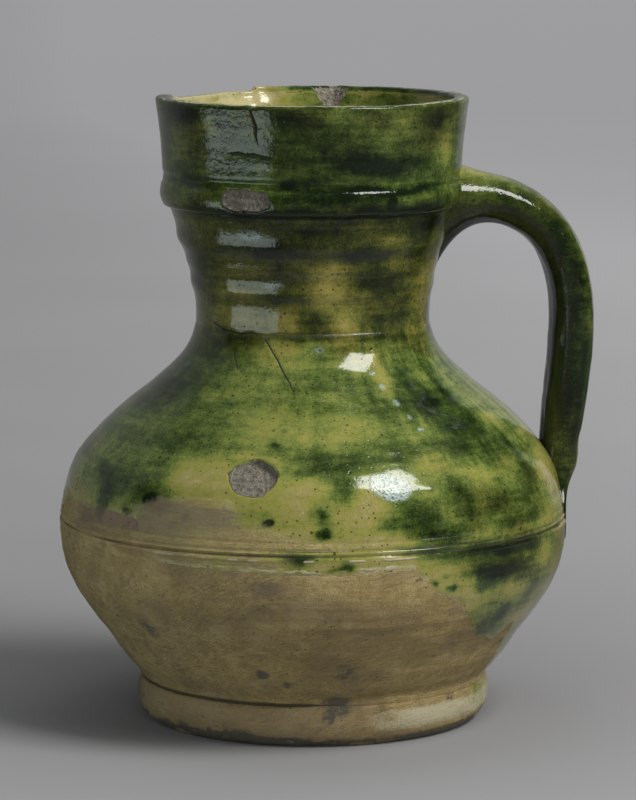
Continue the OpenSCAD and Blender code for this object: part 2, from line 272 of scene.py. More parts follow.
LEVELS = np.linspace(FOOT_H, HEIGHT, 3353)
CLIMB = np.concatenate([[0], np.cumsum(np.hypot(np.diff(LEVELS), np.diff(thrown_radius(LEVELS))))])


def lean(level):
    """How fast the radius grows with height, from the difference over half a millimetre each way."""
    level = np.clip(level, FOOT_H + 0.5, HEIGHT - 0.5)
    return thrown_radius(level + 0.5) - thrown_radius(level - 0.5)


def climb(level):
    """Distance up along the wall to a height, which is longer than the height where the wall slopes."""
    return np.interp(level, LEVELS, CLIMB)


print("wall from foot to rim is", round(float(CLIMB[-1]), 1), "mm long up its side")


# %% [markdown]
# ## Places on the wall
# Everything on the wall is put down at an angle round the pot and a height. The handle is at 0 degrees
# and the camera looks at 265. A patch is an oval whose half sizes are in millimetres on the surface, so
# it keeps its shape on the sloping shoulder and on the narrow neck.


# %% Ovals and lines on the wall
def on_surface(angle, level):
    """Radius and distance up the wall for a whole grid, worked out once for all the marks on it."""
    return thrown_radius(level), climb(level)


def patches(angle, level, marks):
    """Sum of soft ovals [angle, height, half width, half height, strength], each exp(-distance^2)."""
    radius, up = on_surface(angle, level)
    total = np.zeros(np.broadcast(angle, level).shape)
    for centre, height, wide, tall, strength in marks:
        across = np.radians(turned(angle, centre)) * radius
        total += strength * np.exp(-((across / wide) ** 2) - ((up - climb(height)) / tall) ** 2)
    return total


def inside_oval(angle, level, centre, height, wide, tall, power=2):
    """Distance in mm into an oval along the line to its middle, less than 0 outside; a higher power squares it."""
    radius, up = on_surface(angle, level)
    across = np.radians(turned(angle, centre)) * radius
    size = (np.abs(across / wide) ** power + np.abs((up - climb(height)) / tall) ** power) ** (1 / power)
    return (1 - size) * min(wide, tall)


def beside_line(angle, level, line):
    """Signed distance in mm to a line through places (angle, height), and how far along it, 0 to 1.

    The sign is that of the cross product of the stretch and the way to the point, so it is plus on the
    left of the line, and it passes through 0 exactly on it, however coarse the mesh is."""
    middle_angle, middle_level = line[len(line) // 2]
    radius, up = on_surface(angle, level)
    x, y = np.radians(turned(angle, middle_angle)) * radius, up - climb(middle_level)
    ends = [(float(np.radians(turned(a, middle_angle)) * thrown_radius(z)), float(climb(z) - climb(middle_level)))
            for a, z in line]
    best, along, sign = np.full(x.shape, 1e9), np.zeros(x.shape), np.ones(x.shape)
    for k, ((ax, ay), (bx, by)) in enumerate(zip(ends[:-1], ends[1:])):
        t = np.clip(((x - ax) * (bx - ax) + (y - ay) * (by - ay)) / ((bx - ax) ** 2 + (by - ay) ** 2), 0, 1)
        gap = np.hypot(x - ax - t * (bx - ax), y - ay - t * (by - ay))
        side = np.sign((bx - ax) * (y - ay) - (by - ay) * (x - ax))
        nearer = gap < best
        along, sign, best = np.where(nearer, (k + t) / (len(line) - 1), along), np.where(nearer, side, sign), np.minimum(best, gap)
    return best * sign, along


# %% [markdown]
# ## Where the glaze ends
# The jug was held by its foot and dipped, so the glaze stops in a wavy line round the belly, with runs
# that hang below it and bays where it crawled back. The line is a smooth curve through heights round
# the pot. What the pieces carry is the distance in from that line, in millimetres: it is exact between
# the points of a mesh, so the edge of the glaze stays sharp.

# %% The line of the glaze
EDGE = [(0, 45), (10, 46), (18, 45), (30, 50), (46, 48.5), (62, 52), (84, 49.5), (100, 52), (121, 47.5),
        (138, 53), (158, 52), (172, 57), (182, 63), (190, 67), (197, 66.5), (204, 66), (209, 63), (213, 67.5),
        (218, 66.3), (222, 66), (226, 56.5), (230, 55.2), (240, 54.7), (251, 54.2), (262, 53.4), (271, 53.3),
        (280, 54.1), (287, 55), (290, 51.3), (294.5, 46.3), (299.5, 44.2), (303, 39.1), (312, 31), (320, 29),
        (326, 33), (331, 22), (336, 10), (341, 20), (348, 41), (354, 43)]


def smooth_round(angle, stations):
    """A value that follows stations (angle, value) round the pot by the S-shaped blend, and meets itself."""
    at, value = np.array(stations, float).T
    at = np.concatenate([at, [at[0] + 360]])
    value = np.append(value, value[0])
    angle = (np.asarray(angle, float) - at[0]) % 360 + at[0]
    i = np.clip(np.searchsorted(at, angle, side="right") - 1, 0, len(at) - 2)
    t = (angle - at[i]) / (at[i + 1] - at[i])
    return value[i] + (value[i + 1] - value[i]) * t * t * (3 - 2 * t)


def glaze_depth(angle, level, points):
    """Distance in from the edge of the glaze, in mm, from -6 to 12: height over the line, less a bare slit."""
    wander = 0.7 * rough(points, (5, 5, 4), 11) + 0.3 * bumps(points, 1.2, 21)
    over_line = (climb(level) - climb(smooth_round(angle, EDGE))) * 0.8
    slit = -inside_oval(angle, level, 193.3, 70.5, 1, 2.6)
    return np.clip(np.minimum(over_line, slit) + wander, -6, 12)


THIN = [(205, 61, 22, 5.5, 1.2), (228, 60, 22, 5, 1.2), (238, 69.5, 17, 4.2, 1.4), (250, 61.5, 14, 4.5, 0.9),
        (219, 63.5, 12, 2.4, 0.9), (268, 61.5, 22, 1.6, 0.55), (262, 56, 24, 1.2, 0.4), (197, 70, 8, 3, 0.5), (185, 66, 12, 4, 0.5),
        (60, 53, 16, 4, 0.7), (122, 50, 18, 4, 0.8), (20, 49, 12, 3, 0.6)]


def thin_coat(angle, level, points):
    """Where the glaze lies thin and dull, 0 to 1: soft ovals broken up by noise."""
    return np.clip(patches(angle, level, THIN) * (1 + 0.9 * rough(points, (6, 6, 3.4), 32)), 0, 1)


# %% [markdown]
# ## Cracks, chips and scored lines
# A crack opened where the neck is luted to the body and turned down over the shoulder, and another
# runs down from the rim. A flake has come off the shoulder, one off the cordon and one out of the far
# side of the rim. Each is cut into the mesh, so it catches the light from any side.

# %% Damage on the wall
SPLITS = [
    ([(242, 181), (242.6, 178.6), (243.4, 176.6), (244.4, 174), (244.1, 171.3), (245.2, 168)], 0.4, 0.2),
    ([(240.3, 114.7), (242.6, 113), (246.2, 110.1), (249.4, 107.8), (252.2, 105.2), (256.3, 101.8), (259, 98.6)], 0.24, 0.18),
    ([(225.6, 109.8), (227.6, 108), (229, 106.8), (232.8, 104.1)], 0.2, 0.2),
    ([(168, 71), (168.6, 68.5), (168.2, 66)], 0.5, 0.4),
]
SEAMS = [
    ([(231, 166.2), (237, 166.5), (240, 165.9), (243, 166.2), (247, 165.5), (251, 165.3)], 0.34, 0.1),
    ([(205, 117.2), (211, 116.2), (217.4, 115), (223, 114.8), (228, 114.4), (234, 114.8), (240.3, 114.6)], 0.25, 0.25),
    ([(243, 115), (250, 115.3), (258, 115), (268, 115.2), (280, 114.9)], 0.09, 0.05),
    ([(82, 114.6), (95, 115.2), (110, 114.7), (122, 115.1)], 0.25, 0.2),
]


def line_fields(angle, level, lines):
    """Signed distance to the nearest of the lines, its half width there, and the depth cut along it in mm."""
    nearest, wide, deep = np.full(angle.shape, 2.0), np.zeros(angle.shape), np.zeros(angle.shape)
    for line, half, depth in lines:
        gap, along = beside_line(angle, level, line)
        taper = np.minimum(1, 6 * np.minimum(along, 1 - along)) if line[0][1] < 180 else np.minimum(1, 4 * (1 - along))
        near = np.abs(gap) < np.minimum(np.abs(nearest), 1.6)
        nearest = np.where(near, gap, nearest)
        wide = np.where(near, half * taper, wide)
        deep = np.maximum(deep, depth * taper * np.exp(-((gap / 0.45) ** 2)))
    return nearest, wide, deep


SPALL = (251, 79.2, 7.1, 5.7)
CORDON_CHIP = (239, 153.2, 7.2, 2.9)


def broken_depth(angle, level, points):
    """Distance in mm into the broken places, where the bare body shows; less than 0 outside."""
    ragged = 1.5 * rough(points, 5, 51) + 0.35 * bumps(points, 1.3, 52)
    spall = inside_oval(angle, level, *SPALL) + ragged
    chip = inside_oval(angle, level, *CORDON_CHIP, 4) + ragged * 0.45
    return np.clip(np.maximum(spall, chip), -4, 4)


def scored(level, middle, half, deep):
    """A V-shaped line of that half width and depth scored round the pot."""
    return deep * np.clip(1 - np.abs(level - middle) / half, 0, 1)


# %% [markdown]
# ## Height of the surface above the plain outline
# The height adds up what the hands, the kiln and time did: throwing ripples, a slow wobble, the scored
# lines with the burr they threw up, the coat of glaze with its fat lower edge, then the damage.

# %% Add up the height
RIDGES = [(148.2, 0.2, 0.9), (146.2, 0.1, 0.7), (139.4, 0.6, 2.7), (132.8, 0.22, 2), (126.4, 0.42, 2.4),
          (115.2, 0.14, 1.5), (157.8, -0.3, 0.9), (163, 0.05, 2.5), (172, 0.05, 3), (108.5, 0.1, 2.4), (99, 0.08, 2.5),
          (93, 0.07, 2), (88.6, 0.1, 0.9), (85.5, 0.08, 1.1), (76, 0.08, 1.8), (71.5, 0.06, 1.5), (45, 0.1, 2),
          (38, 0.1, 2.5), (30, 0.12, 2.5), (22, 0.1, 2)]


def coat(depth, thin):
    """Thickness of the glaze in mm at a distance in from its edge: it rises fast and is fattest just inside."""
    inside = np.maximum(depth, 0)
    fat = 0.13 * np.exp(-(((inside - 0.9) / 0.8) ** 2)) * blend(depth, 0, 0.3)
    return (0.24 * (1 - np.exp(-inside / 0.8)) + fat) * (1 - 0.7 * thin)


def wall_fields(angle, level):
    """Every field of the outside wall at angles and heights, and its height in mm above the outline."""
    radius = clay_radius(level)
    a = np.radians(angle)
    points = np.stack([radius * np.cos(a), radius * np.sin(a), level], -1)
    ripple = sum(out * np.exp(-(((level - middle) / half) ** 2)) for middle, out, half in RIDGES)
    ripple = ripple * (1 + 0.5 * bumps(points, (40, 40, 14), 61))
    above = blend(level, 50, 70)
    thrown = 0.045 * bumps(points, (60, 60, 1.9), 62) + 0.07 * bumps(points, (40, 40, 1), 63) * (1 - above)
    wobble = 0.25 * bumps(points, (45, 45, 30), 64) + 0.05 * bumps(points, 6, 65)
    glaze = glaze_depth(angle, level, points)
    thin = thin_coat(angle, level, points)
    fading = 0.65 + 0.35 * bumps(points, (30, 30, 3), 66)
    lines = scored(level, 58.8, 0.7, 0.55) * fading + scored(level, 60.3, 0.55, 0.34) * (1.5 - fading)
    lines += scored(level, 62.4, 0.5, 0.26) * fading + scored(level, 61.4, 0.3, 0.1)
    lines -= scored(level, 57.6, 0.5, 0.24) + scored(level, 59.6, 0.3, 0.12) + scored(level, 56.6, 0.5, 0.08)
    left = blend(-turned(angle, 262), -8, 12)
    soil = blend(lines, 0.05 + 0.03 * left, 0.34 + 0.1 * left) * (0.7 - 0.15 * left + 0.6 * bumps(points, (7, 7, 2), 67))
    soil = soil + 0.5 * np.exp(-(((level - 114.4) / 0.7) ** 2)) * blend(bumps(points, (14, 14, 3), 68), -0.3, 0.4)
    split, split_wide, split_deep = line_fields(angle, level, SPLITS)
    seam, seam_wide, seam_deep = line_fields(angle, level, SEAMS)
    broken = broken_depth(angle, level, points)
    pitted = 0.3 * rough(points, 1.6, 71)
    across, up = np.radians(turned(angle, SPALL[0])) * BELLY_R, climb(level) - climb(SPALL[1])
    tilt = np.clip(0.1 * across + 0.12 * up, -0.5, 1.0) * (level < 100)
    height = ripple + thrown + wobble - lines + coat(glaze, thin) - split_deep - seam_deep
    bottom = np.minimum(1.2, 0.75 + 0.35 * broken) + tilt - pitted
    height = height - bottom * blend(broken, -0.05, 0.35)
    edge_bead = np.exp(-(((glaze - 0.75) / 0.45) ** 2)) * blend(angle, 236, 262) * blend(-angle, -290, -284)
    burr = np.exp(-(((level - 57.6) / 0.32) ** 2)) * blend(angle, 218, 236) * blend(-angle, -296, -284)
    worn = np.maximum(edge_bead, burr) * blend(bumps(points, (2.5, 2.5, 2), 73), -0.5, 0.3)
    glint_lace = patches(angle, level, BLOOM_AND_GLINTS)
    fields = numbers(angle.shape, glaze=glaze, thin=thin, broken=broken, soil=np.clip(soil, 0, 1), worn=worn, bloom=glint_lace,
                     split=split, split_wide=split_wide, seam=seam, seam_wide=seam_wide, iron=iron_in(angle, level, points),
                     copper=copper_in(angle, level, points), mauve=patches(angle, level, MAUVE) * (1 + 0.9 * rough(points, (7, 7, 1.3), 33)),
                     smudge=patches(angle, level, SMUDGES))
    return height, fields, points


def on_wall(angle, level, height):
    """Points in mm at a height above the outline, measured square to the wall."""
    slope = lean(level)
    out = 1 / np.hypot(1, slope)
    radius = np.minimum(clay_radius(level) + height * out, 73.45)
    a = np.radians(angle)
    return np.stack([radius * np.cos(a), radius * np.sin(a), level - height * slope * out], -1)


# %% [markdown]
# ## Copper in the glaze
# Copper dust fell unevenly, so the green lies in clouds, streaks and drops, and the glaze between them
# is honey-coloured. Each list holds ovals on the wall: where copper lies thick, drops of it, where the
# glaze is clear, where bare clay fired mauve, and smudges of kiln dirt.

# %% Clouds, drops, clear places and stains
CLOUDS = [
    (292.5, 67, 4.5, 3, .55), (296.5, 61.8, 5.5, 1.7, .6), (284, 73, 6, 3, .4), (301, 73, 5, 3.2, .35),
    (227.6, 71.5, 3, 3, .5), (264, 149.6, 26, 1.5, .5), (266, 143.6, 9, 2.5, .4), (248, 137.5, 6, 2.2, .5),
    (284, 137.4, 5, 2.6, .35), (285, 165.5, 6, 5, .55), (263, 80.5, 5, 2, .4), (283, 88, 6, 3, .25),
    (317, 54, 24, 8, .36), (318, 68, 18, 5, .16), (281, 138, 9, 8, .14),
    (209, 177, 7, 3, .45), (228, 177.6, 4, 3, .25), (255, 177.4, 4, 3.3, .3), (268, 170.5, 9, 3.3, .35),
    (272, 163.5, 17, 2.5, .45), (297, 163, 10, 2.8, .35), (318, 175, 7, 2.8, .4), (231, 167, 8, 5, .1),
    (208, 156.7, 9.5, 1.7, .35), (260, 157.6, 6.4, 1.7, .35), (268, 153.8, 17, 1.4, .4), (298, 155.8, 17, 1.3, .9),
    (228, 149.5, 14.5, 1.9, .3), (260, 148.9, 20, 1.5, .3), (300, 150.3, 17, 2.4, .5), (322, 144.7, 11, 3, .5),
    (238, 139.4, 11, 1.8, .35), (204, 134, 9.6, 7.7, .25), (294, 134.5, 7.3, 6.4, .5), (319, 137.6, 7, 9, .3),
    (255, 132, 5.3, 1.4, .3), (250, 125.6, 9, 1.4, .35), (298, 128.5, 7.6, 3.5, .45), (266, 119.2, 3, 2.6, .3),
    (302, 118.3, 9.4, 4, .35), (225, 114, 10.6, 1.1, .3), (259, 113.5, 11.6, .8, .2), (302, 113.3, 9, 1.1, .3),
    (214, 109, 13.7, 3.6, .3), (204, 99.6, 12, 7.5, .4), (198, 94.6, 13, 4.5, .3), (229, 91, 9.3, 7, .12),
    (223, 84, 15.5, 6, .3), (303, 103, 3, 5.5, .3), (309, 96.6, 9, 5.5, .5), (315, 89.7, 12.6, 5.5, .45),
    (325.6, 83.3, 15.3, 4, .4), (295, 97.5, 3, 6.5, .35), (285.4, 98, 2.5, 7, .3), (298, 86.2, 14, 2, .3),
    (264.4, 84.6, 8, 1.8, .25), (316, 80, 6, 4, .3), (283, 84.2, 12, 1.5, .3), (272, 81.5, 11.6, 2, .32), (272.5, 76.5, 3, 5, .55),
    (214.4, 74.5, 10, 6, .45), (224.7, 74.1, 6, 7, .5), (210.4, 69, 3.6, 5, .6), (206, 76, 8, 3, .4),
    (288, 69, 8, 4.5, .6), (300, 75, 5.6, 5.5, .5), (282, 67, 4.2, 2, .5), (302.4, 67.8, 5, 3.6, .6),
    (312.5, 70.5, 7.7, 5, .45), (329, 76, 6.5, 6, .5), (324, 68.6, 6.7, 5, .4), (295, 64, 10, 1.4, .5),
    (318, 64, 9.6, 1.6, .4), (298.6, 58.2, 11.8, 1.7, .55), (310, 57.6, 10.6, 2.3, .6), (323, 57.5, 8.8, 2.3, .55),
    (306, 51.2, 7, 2.6, .7), (305, 47.2, 2.6, 1.6, .6), (314, 50.7, 8.8, 3.5, .5), (315.5, 37.8, 3.2, 5, .7),
    (312, 34, 6, 5.5, .4), (326, 42, 8.4, 5.5, .5), (308.4, 31.9, 4, 3, .25), (336, 28, 5, 8, .35),
    (291, 60, 6, 2.4, .4), (297, 55.5, 5, 2, .35),
]
DROPS = [
    (266.7, 70.2, 2.3, 2.2, .9), (267.7, 64.9, 2, 1.9, .9), (261.9, 57.4, 4, 1.9, 1), (252.3, 59, 1.8, .8, .9),
    (272.4, 56.1, 2.5, 1.4, .9), (255.3, 67.6, .9, .7, 1.8), (292.3, 50.2, 1.4, 1.2, .9), (297.4, 48.1, 1.5, 1.2, .9),
    (269.8, 55.1, 3.4, .8, .6), (232.6, 65.7, 1, .9, .7), (235.7, 68.2, 1.3, 1.5, .6), (209.6, 65.3, 2.2, 1.9, 1.2),
    (218.4, 67.6, 1.9, 1, 1.1), (225.4, 71.5, 1.8, 1.6, .9), (295, 51.6, 1.6, .9, .6), (255.6, 157.6, 1.2, .9, 1),
    (295.9, 152.1, 1.1, 1, 1.4), (255.2, 86.9, 1.7, 1.4, .6),
]
CLEAR = [
    (303, 88, 6, 4, .3), (246, 110.8, 9, 3, .3), (228, 98, 8, 6, .2), (317, 80, 12, 5, .3), (232, 55.3, 13, 2.6, .8), (291, 131, 9, 9, .12), (307, 138, 9, 11, .2), (212, 135, 9, 15, .16),
    (223, 175, 2.7, 3.4, .5), (275, 178, 5.3, 2.2, .3), (293.5, 167, 4, 3.4, .3), (301, 176.8, 3.2, 2.8, .4),
    (325.6, 165.8, 4.7, 5.7, .5), (329, 130, 6, 15, .32), (300, 178.8, 7, 1.1, .3), (203, 168.6, 7.4, 7.2, .2), (273, 131.5, 5.3, 4.6, .75),
    (274, 125, 6, 3.4, .6), (280.7, 117.6, 4.8, 4, .8), (252, 119, 3.6, 4.5, .5), (229, 126.4, 8.6, 1.6, .5),
    (228, 119.8, 9.4, 4, .4), (299, 141.5, 5, 2.3, .4), (304, 135, 3, 2.4, .3), (220.5, 129.5, 5, 2.3, .3),
    (278, 112, 4.2, 2.6, .3), (259, 110.3, 8.7, 2, .25), (251, 105, 12, 5, .25), (255, 92.2, 14.7, 6, .3),
    (270, 88.7, 17.4, 3.6, .3), (294, 101, 2.6, 7, .5), (290.7, 106.4, 6.4, 3, .3), (329, 89.5, 8, 3, .5),
    (339, 84, 12, 2.6, .5), (338, 74.5, 7.8, 5, .5), (276, 92, 8.8, 3.6, .25), (243, 77, 15.6, 7, .52),
    (234, 80, 6.8, 5, .35), (264.4, 76.5, 7.5, 3.4, .42), (262, 71.5, 8.7, 5.6, .48), (278, 73.8, 4.7, 4, .5),
    (276, 68.6, 8, 4.4, .42), (249, 83.6, 7, 2, .4), (295, 80.3, 6.7, 2.6, .3), (307, 77, 5, 3, .25),
    (332, 62, 5, 3, .2), (262, 62.2, 17.4, 1.8, .9), (279.6, 61.8, 12, 1.8, .7), (251.5, 63.2, 12, 2.3, .8),
    (262, 55.9, 23, 1.8, .9), (282, 57, 9, 1.8, .8), (222, 64, 12, 3, .7), (229, 60.5, 15, 3, .7),
    (293.7, 51, 8, 3, .8), (316, 44, 6.5, 3.4, .6), (303, 43.6, 5, 3.8, .7), (329, 53.5, 5, 6, .4), (329.6, 35.5, 6.7, 5, .5),
]
# Pale blue-grey lace laid where the glaze's highlights and reflections fall: painted highlight, partly weathered bloom.
BLOOM_AND_GLINTS = [(282.5, 77.5, 6.5, 3.6, 1.1), (285, 75, 4.5, 2.6, 0.9), (268, 110.6, 3, 2, 0.6), (290.5, 104, 1.6, 1.2, 0.8),
         (292.5, 100.5, 1.3, 1.6, 0.8), (294.7, 96.5, 1.4, 1.7, 0.9), (296.5, 93, 1.2, 1.5, 0.7), (298, 90, 1.6, 1.2, 0.8), (239, 143, 9, 2.6, 0.6),
         (246, 129, 6, 2.4, 0.6), (120, 90, 7, 5, 0.5), (60, 100, 6, 4, 0.5)]
MAUVE = [(214, 65.5, 13, 3.2, .9), (204, 61.5, 14, 2.6, .7), (228, 64.5, 14, 2.4, .9), (250, 46, 16, 5, .35),
         (275, 44, 15, 6, .35), (240.6, 69, 12, 2.6, 1), (231, 70, 5, 2.3, .7), (249, 68, 10, 1.8, .6), (255, 49.5, 6.5, 3, .6),
         (299.5, 41.2, 2.8, 3, .7), (230, 58.6, 10.6, 1.7, .4), (200, 64.7, 9.6, 3, .5), (247, 53.3, 4.3, 1.1, .6),
         (60, 40, 14, 5, .5), (130, 44, 16, 5, .6), (10, 34, 10, 6, .5)]
SMUDGES = [(251, 22.4, 2.4, 2, 1), (257.6, 19.4, 2.3, 1.9, .7), (274, 22.7, 5.3, 3.6, .6), (273, 13.5, 4.7, 2.4, 1),
           (221, 33.5, 4.8, 5.1, .6), (231, 37.6, 2.4, 1, .5), (235, 34, 2.7, 1.3, .4), (298, 27, 9, 1.7, .5),
           (296, 24, 6, 2, .4), (275, 26, 11.7, 1.9, .3), (262, 27.7, 5.2, 1.3, .4), (249.6, 40.8, 1, 1.2, .5),
           (268, 40, .6, .5, .8), (313, 26.3, 4.3, 3, .4), (328, 26.6, 5, 2.1, .6), (288.8, 51.4, 1.9, 2.3, .5),
           (298.5, 45.2, 2.8, .6, 1), (264.4, 29.4, 4.3, 1.4, .3), (261, 14.2, 1.7, .9, .5), (210, 35.8, .8, .6, 1),
           (260, 49.7, 8.7, 2.3, .3), (40, 25, 6, 4, .6), (95, 30, 9, 4, .5), (150, 20, 6, 3, .6), (175, 42, 5, 3, .4)]


def iron_in(angle, level, points):
    """How brown the glaze is, 0 to 1: iron from the clay tints it where it lies thin, most of all on the neck."""
    neck = blend(level, 102, 116) * blend(-level, -158, -146)
    right = blend(turned(angle, 296), -10, 12) * blend(-level, -88, -70)
    return 0.14 + 0.6 * neck + 0.4 * blend(level, 156, 168) + 0.35 * right + 0.3 * rough(points, (14, 14, 9), 84)


def copper_in(angle, level, points):
    """How much copper the glaze holds, 0 for honey to 1 for deep green: clouds less clear places.

    The places are pushed about by a soft random field first, which gives the clouds ragged edges."""
    base = 0.3 + 0.22 * blend(level, 66, 90) + 0.06 * blend(level, 104, 118) + 0.05 * blend(level, 144, 152) + 0.06 * blend(level, 156, 160)
    behind = blend(np.abs(turned(angle, FRONT)), 70, 95)
    drift = rough(points, (17, 17, 13), 81) * (0.12 + 0.34 * behind) + rough(points, (11, 11, 7), 82) * 0.16 * blend(level, 112, 125)
    streaks = bumps(points, (22, 22, 2.6), 85) * 0.07 + bumps(points, (9, 9, 1.3), 86) * 0.05
    fine = rough(points, (4, 4, 3), 89) * 0.1
    clear_edge = 0.3 * blend(-level, -64, -56) * behind
    a = np.radians(angle)
    pillar = np.stack([60 * np.cos(a), 60 * np.sin(a), 0.18 * level], -1)
    runs = (0.17 * bumps(pillar, 3.6, 92) + 0.09 * bumps(pillar, 1.5, 95)) * blend(level, 72, 84) * blend(-level, -122, -112)
    runs = runs * (0.35 + 0.65 * blend(turned(angle, 290), -16, 6))
    a = angle + 2.2 * rough(points, 6, 87)
    z = level + 1.6 * rough(points, 6, 88)
    a_drop, z_drop = angle + 0.9 * bumps(points, 2.4, 90), level + 0.6 * bumps(points, 2.4, 91)
    cloud = 0.62 * patches(a, z, CLOUDS) - 0.5 * patches(a, z, CLEAR) + 0.8 * patches(a_drop, z_drop, DROPS)
    return np.clip(base + drift + streaks + fine + runs - clear_edge + 1.12 * cloud, 0.02, 1.4)


# %% [markdown]
# ## The body
# Two closed shells make the body, and they meet in the bottom of the deep scored line, where the join
# can't be seen. The lower one has the flat underside and the slanting seat for the foot. The rows
# follow the distance along the wall, closest together between the scored lines.

# %% Helpers for the shells
body_angles = round_the_pot(0.5, 0.56, 1.8, BELLY_R)
SCORED = 58.8


def rings(angles, profile):
    """Plain rings of points at (radius, height) places, one after the other."""
    a = np.radians(np.asarray(angles))[None, :]
    r, z = np.array(profile, float).T[:, :, None]
    return np.stack([r * np.cos(a), r * np.sin(a), z + 0 * a], -1)


def body_wall(low, high, step):
    """Points and fields of the outside wall between two heights."""
    levels = laid_out(low, high, lambda z: step(z) / np.hypot(1, lean(z)))
    angle, level = np.meshgrid(body_angles, levels)
    height, fields, points = wall_fields(angle, level)
    open_seam = blend(-turned(angle, 275), -6, 12) * blend(angle, 168, 184)
    near_seam = np.exp(-(((level - FOOT_H) / 0.9) ** 2)) * open_seam
    # A dark line painted along the open seam above the foot: painted shade in the gap.
    seam_shade_line = np.clip(1.3 - np.abs(level - FOOT_H - 0.1 + 0.12 * bumps(points, 3, 72)) / 0.5, 0, 1)
    fields["soil"] = np.maximum(fields["soil"], seam_shade_line * open_seam)
    return on_wall(angle, level, height - 0.8 * near_seam), fields


def bore_of_body(level):
    """Radius of the inside of the body behind the lining."""
    return thrown_radius(level) - (4.6 - 0.6 * blend(level, 58, 115)) * np.hypot(1, lean(level))


# %% Build the lower body
wall, wall_values = body_wall(FOOT_H, SCORED, lambda z: 0.58 - 0.22 * blend(z, 50, 53))
below = rings(body_angles, [(10, 0.4), (25, 0.4), (38, 0.3), (43.5, 0.05), (44.9, 0.05), (44.95, 4.9), (48, 9)])
down = np.linspace(58.7, 22, 6)
inside = rings(body_angles, list(zip(bore_of_body(down), down)) + [(45, 12), (38, 7.5), (30, 5.9)])
shell = np.concatenate([below, wall, inside])
lower_body = made_mesh("lower_body", shell, padded(wall_values, len(below), len(inside)),
                       poles=((0, 0, 0.4), (0, 0, 5.9)))

# %% Build the shoulder
wall, wall_values = body_wall(SCORED, BODY_H, lambda z: 0.36 + 0.16 * blend(z, 64, 67))
down = np.linspace(BODY_H, 60, 8)
inside = rings(body_angles, list(zip(bore_of_body(down), down)))
shoulder = made_mesh("shoulder", np.concatenate([wall, inside]), padded(wall_values, 0, len(inside)),
                     joined_rows=True)

# %% [markdown]
# ## The neck, cordon, collar and rim
# The neck was thrown apart and luted on. Its section is a closed loop carried round: up the outside,
# over the lip and down the inside. The lip is worn to a thin bare line, dips at the far left, and has a
# chip out of the far side, which is cut by pushing the points above a slanting plane down to it.

# %% Build the neck
neck_angles = round_the_pot(0.5, 0.6, 1.0, COLLAR_R)
LIP_T, WALL_T = 3.4, 4
lip_level = HEIGHT - 1.1
out_levels = laid_out(BODY_H, lip_level, lambda z: (0.55 - 0.2 * blend(z, 147, 149)) / np.hypot(1, lean(z)))
angle, level = np.meshgrid(neck_angles, out_levels)
height, neck_fields, points = wall_fields(angle, level)
outside = on_wall(angle, level, height)


def bore_radius(z):
    """Inside radius: the wall's thickness is measured square to it and thins towards the lip."""
    z = np.asarray(z, float)
    thick = WALL_T + (LIP_T - WALL_T) * (z - BODY_H) / (HEIGHT - BODY_H)
    return thrown_radius(z) - thick * np.hypot(1, lean(z))


in_levels = laid_out(-lip_level, -BODY_H, lambda z: 0.6 + 2 * blend(z, -165, -150))[1:] * -1
angle_in, level_in = np.meshgrid(neck_angles, in_levels)
radius_in = bore_radius(level_in) - 0.3
a = np.radians(angle_in)
points_in = np.stack([radius_in * np.cos(a), radius_in * np.sin(a), level_in], -1)
wave_in = 0.16 * bumps(points_in, (50, 50, 3), 91) + 0.15 * bumps(points_in, (20, 20, 12), 92)
bevel = 0.52 * np.maximum(level_in - 175.2, 0) * blend(angle_in, 99, 105) * blend(-angle_in, -130, -118)
radius_in = radius_in + wave_in + bevel
inside = np.stack([radius_in * np.cos(a), radius_in * np.sin(a), level_in], -1)

over = np.radians(np.linspace(0, 180, 16)[1:-1])[:, None]
foot_out, foot_in = np.hypot(*outside[-1, :, :2].T), np.hypot(*inside[0, :, :2].T)
middle, half = (foot_out + foot_in) / 2, (foot_out - foot_in) / 2
lip_radius = middle + half * np.sign(np.cos(over)) * np.abs(np.cos(over)) ** 0.65
lip_angle = np.radians(neck_angles)[None, :]
lip_height = lip_level + (HEIGHT - 0.15 - lip_level) * np.sin(over) ** 0.7 + 0 * lip_angle
lip = np.stack([lip_radius * np.cos(lip_angle), lip_radius * np.sin(lip_angle), lip_height], -1)
loop = np.concatenate([outside, lip, inside])
loop_angle = np.broadcast_to(neck_angles, loop.shape[:2])


def worn_down(loop, angle):
    """Height taken off the rim, in mm: long dips, small nicks and the worn step at the far left."""
    dip = (1.3 + 0.3 * blend(angle, 118, 134)) * blend(angle, 108, 109.5) * blend(-angle, -170, -150)
    dip = dip + 0.2 * np.exp(-((turned(angle, 22) / 2.2) ** 2)) + 0.25 * np.exp(-((turned(angle, 300) / 14) ** 2))
    dip = dip + 0.5 * np.exp(-((turned(angle, 243) / 1.1) ** 2))
    ring = np.stack([44 * np.cos(np.radians(angle)), 44 * np.sin(np.radians(angle)), 0 * angle], -1)
    return dip + 0.16 + 0.16 * rough(ring, 6, 95) + 0.1 * bumps(ring, 1.3, 99)


level_loop = loop[..., 2]
radius_loop = np.hypot(loop[..., 0], loop[..., 1])
share_up = blend(level_loop, 168, 179.5)
loop[..., 2] = level_loop - worn_down(loop, loop_angle) * share_up
chip_across = np.radians(turned(loop_angle, 77)) * radius_loop
ragged = 0.5 * rough(loop, 2.2, 96)
chip_floor = HEIGHT - 0.6 - 1.5 * (RIM_R - radius_loop) + 1.15 * np.maximum(np.abs(chip_across) - 0.6, 0) + ragged
cut = np.maximum(loop[..., 2] - chip_floor, 0) * (np.abs(chip_across) < 9)
loop[..., 2] -= cut

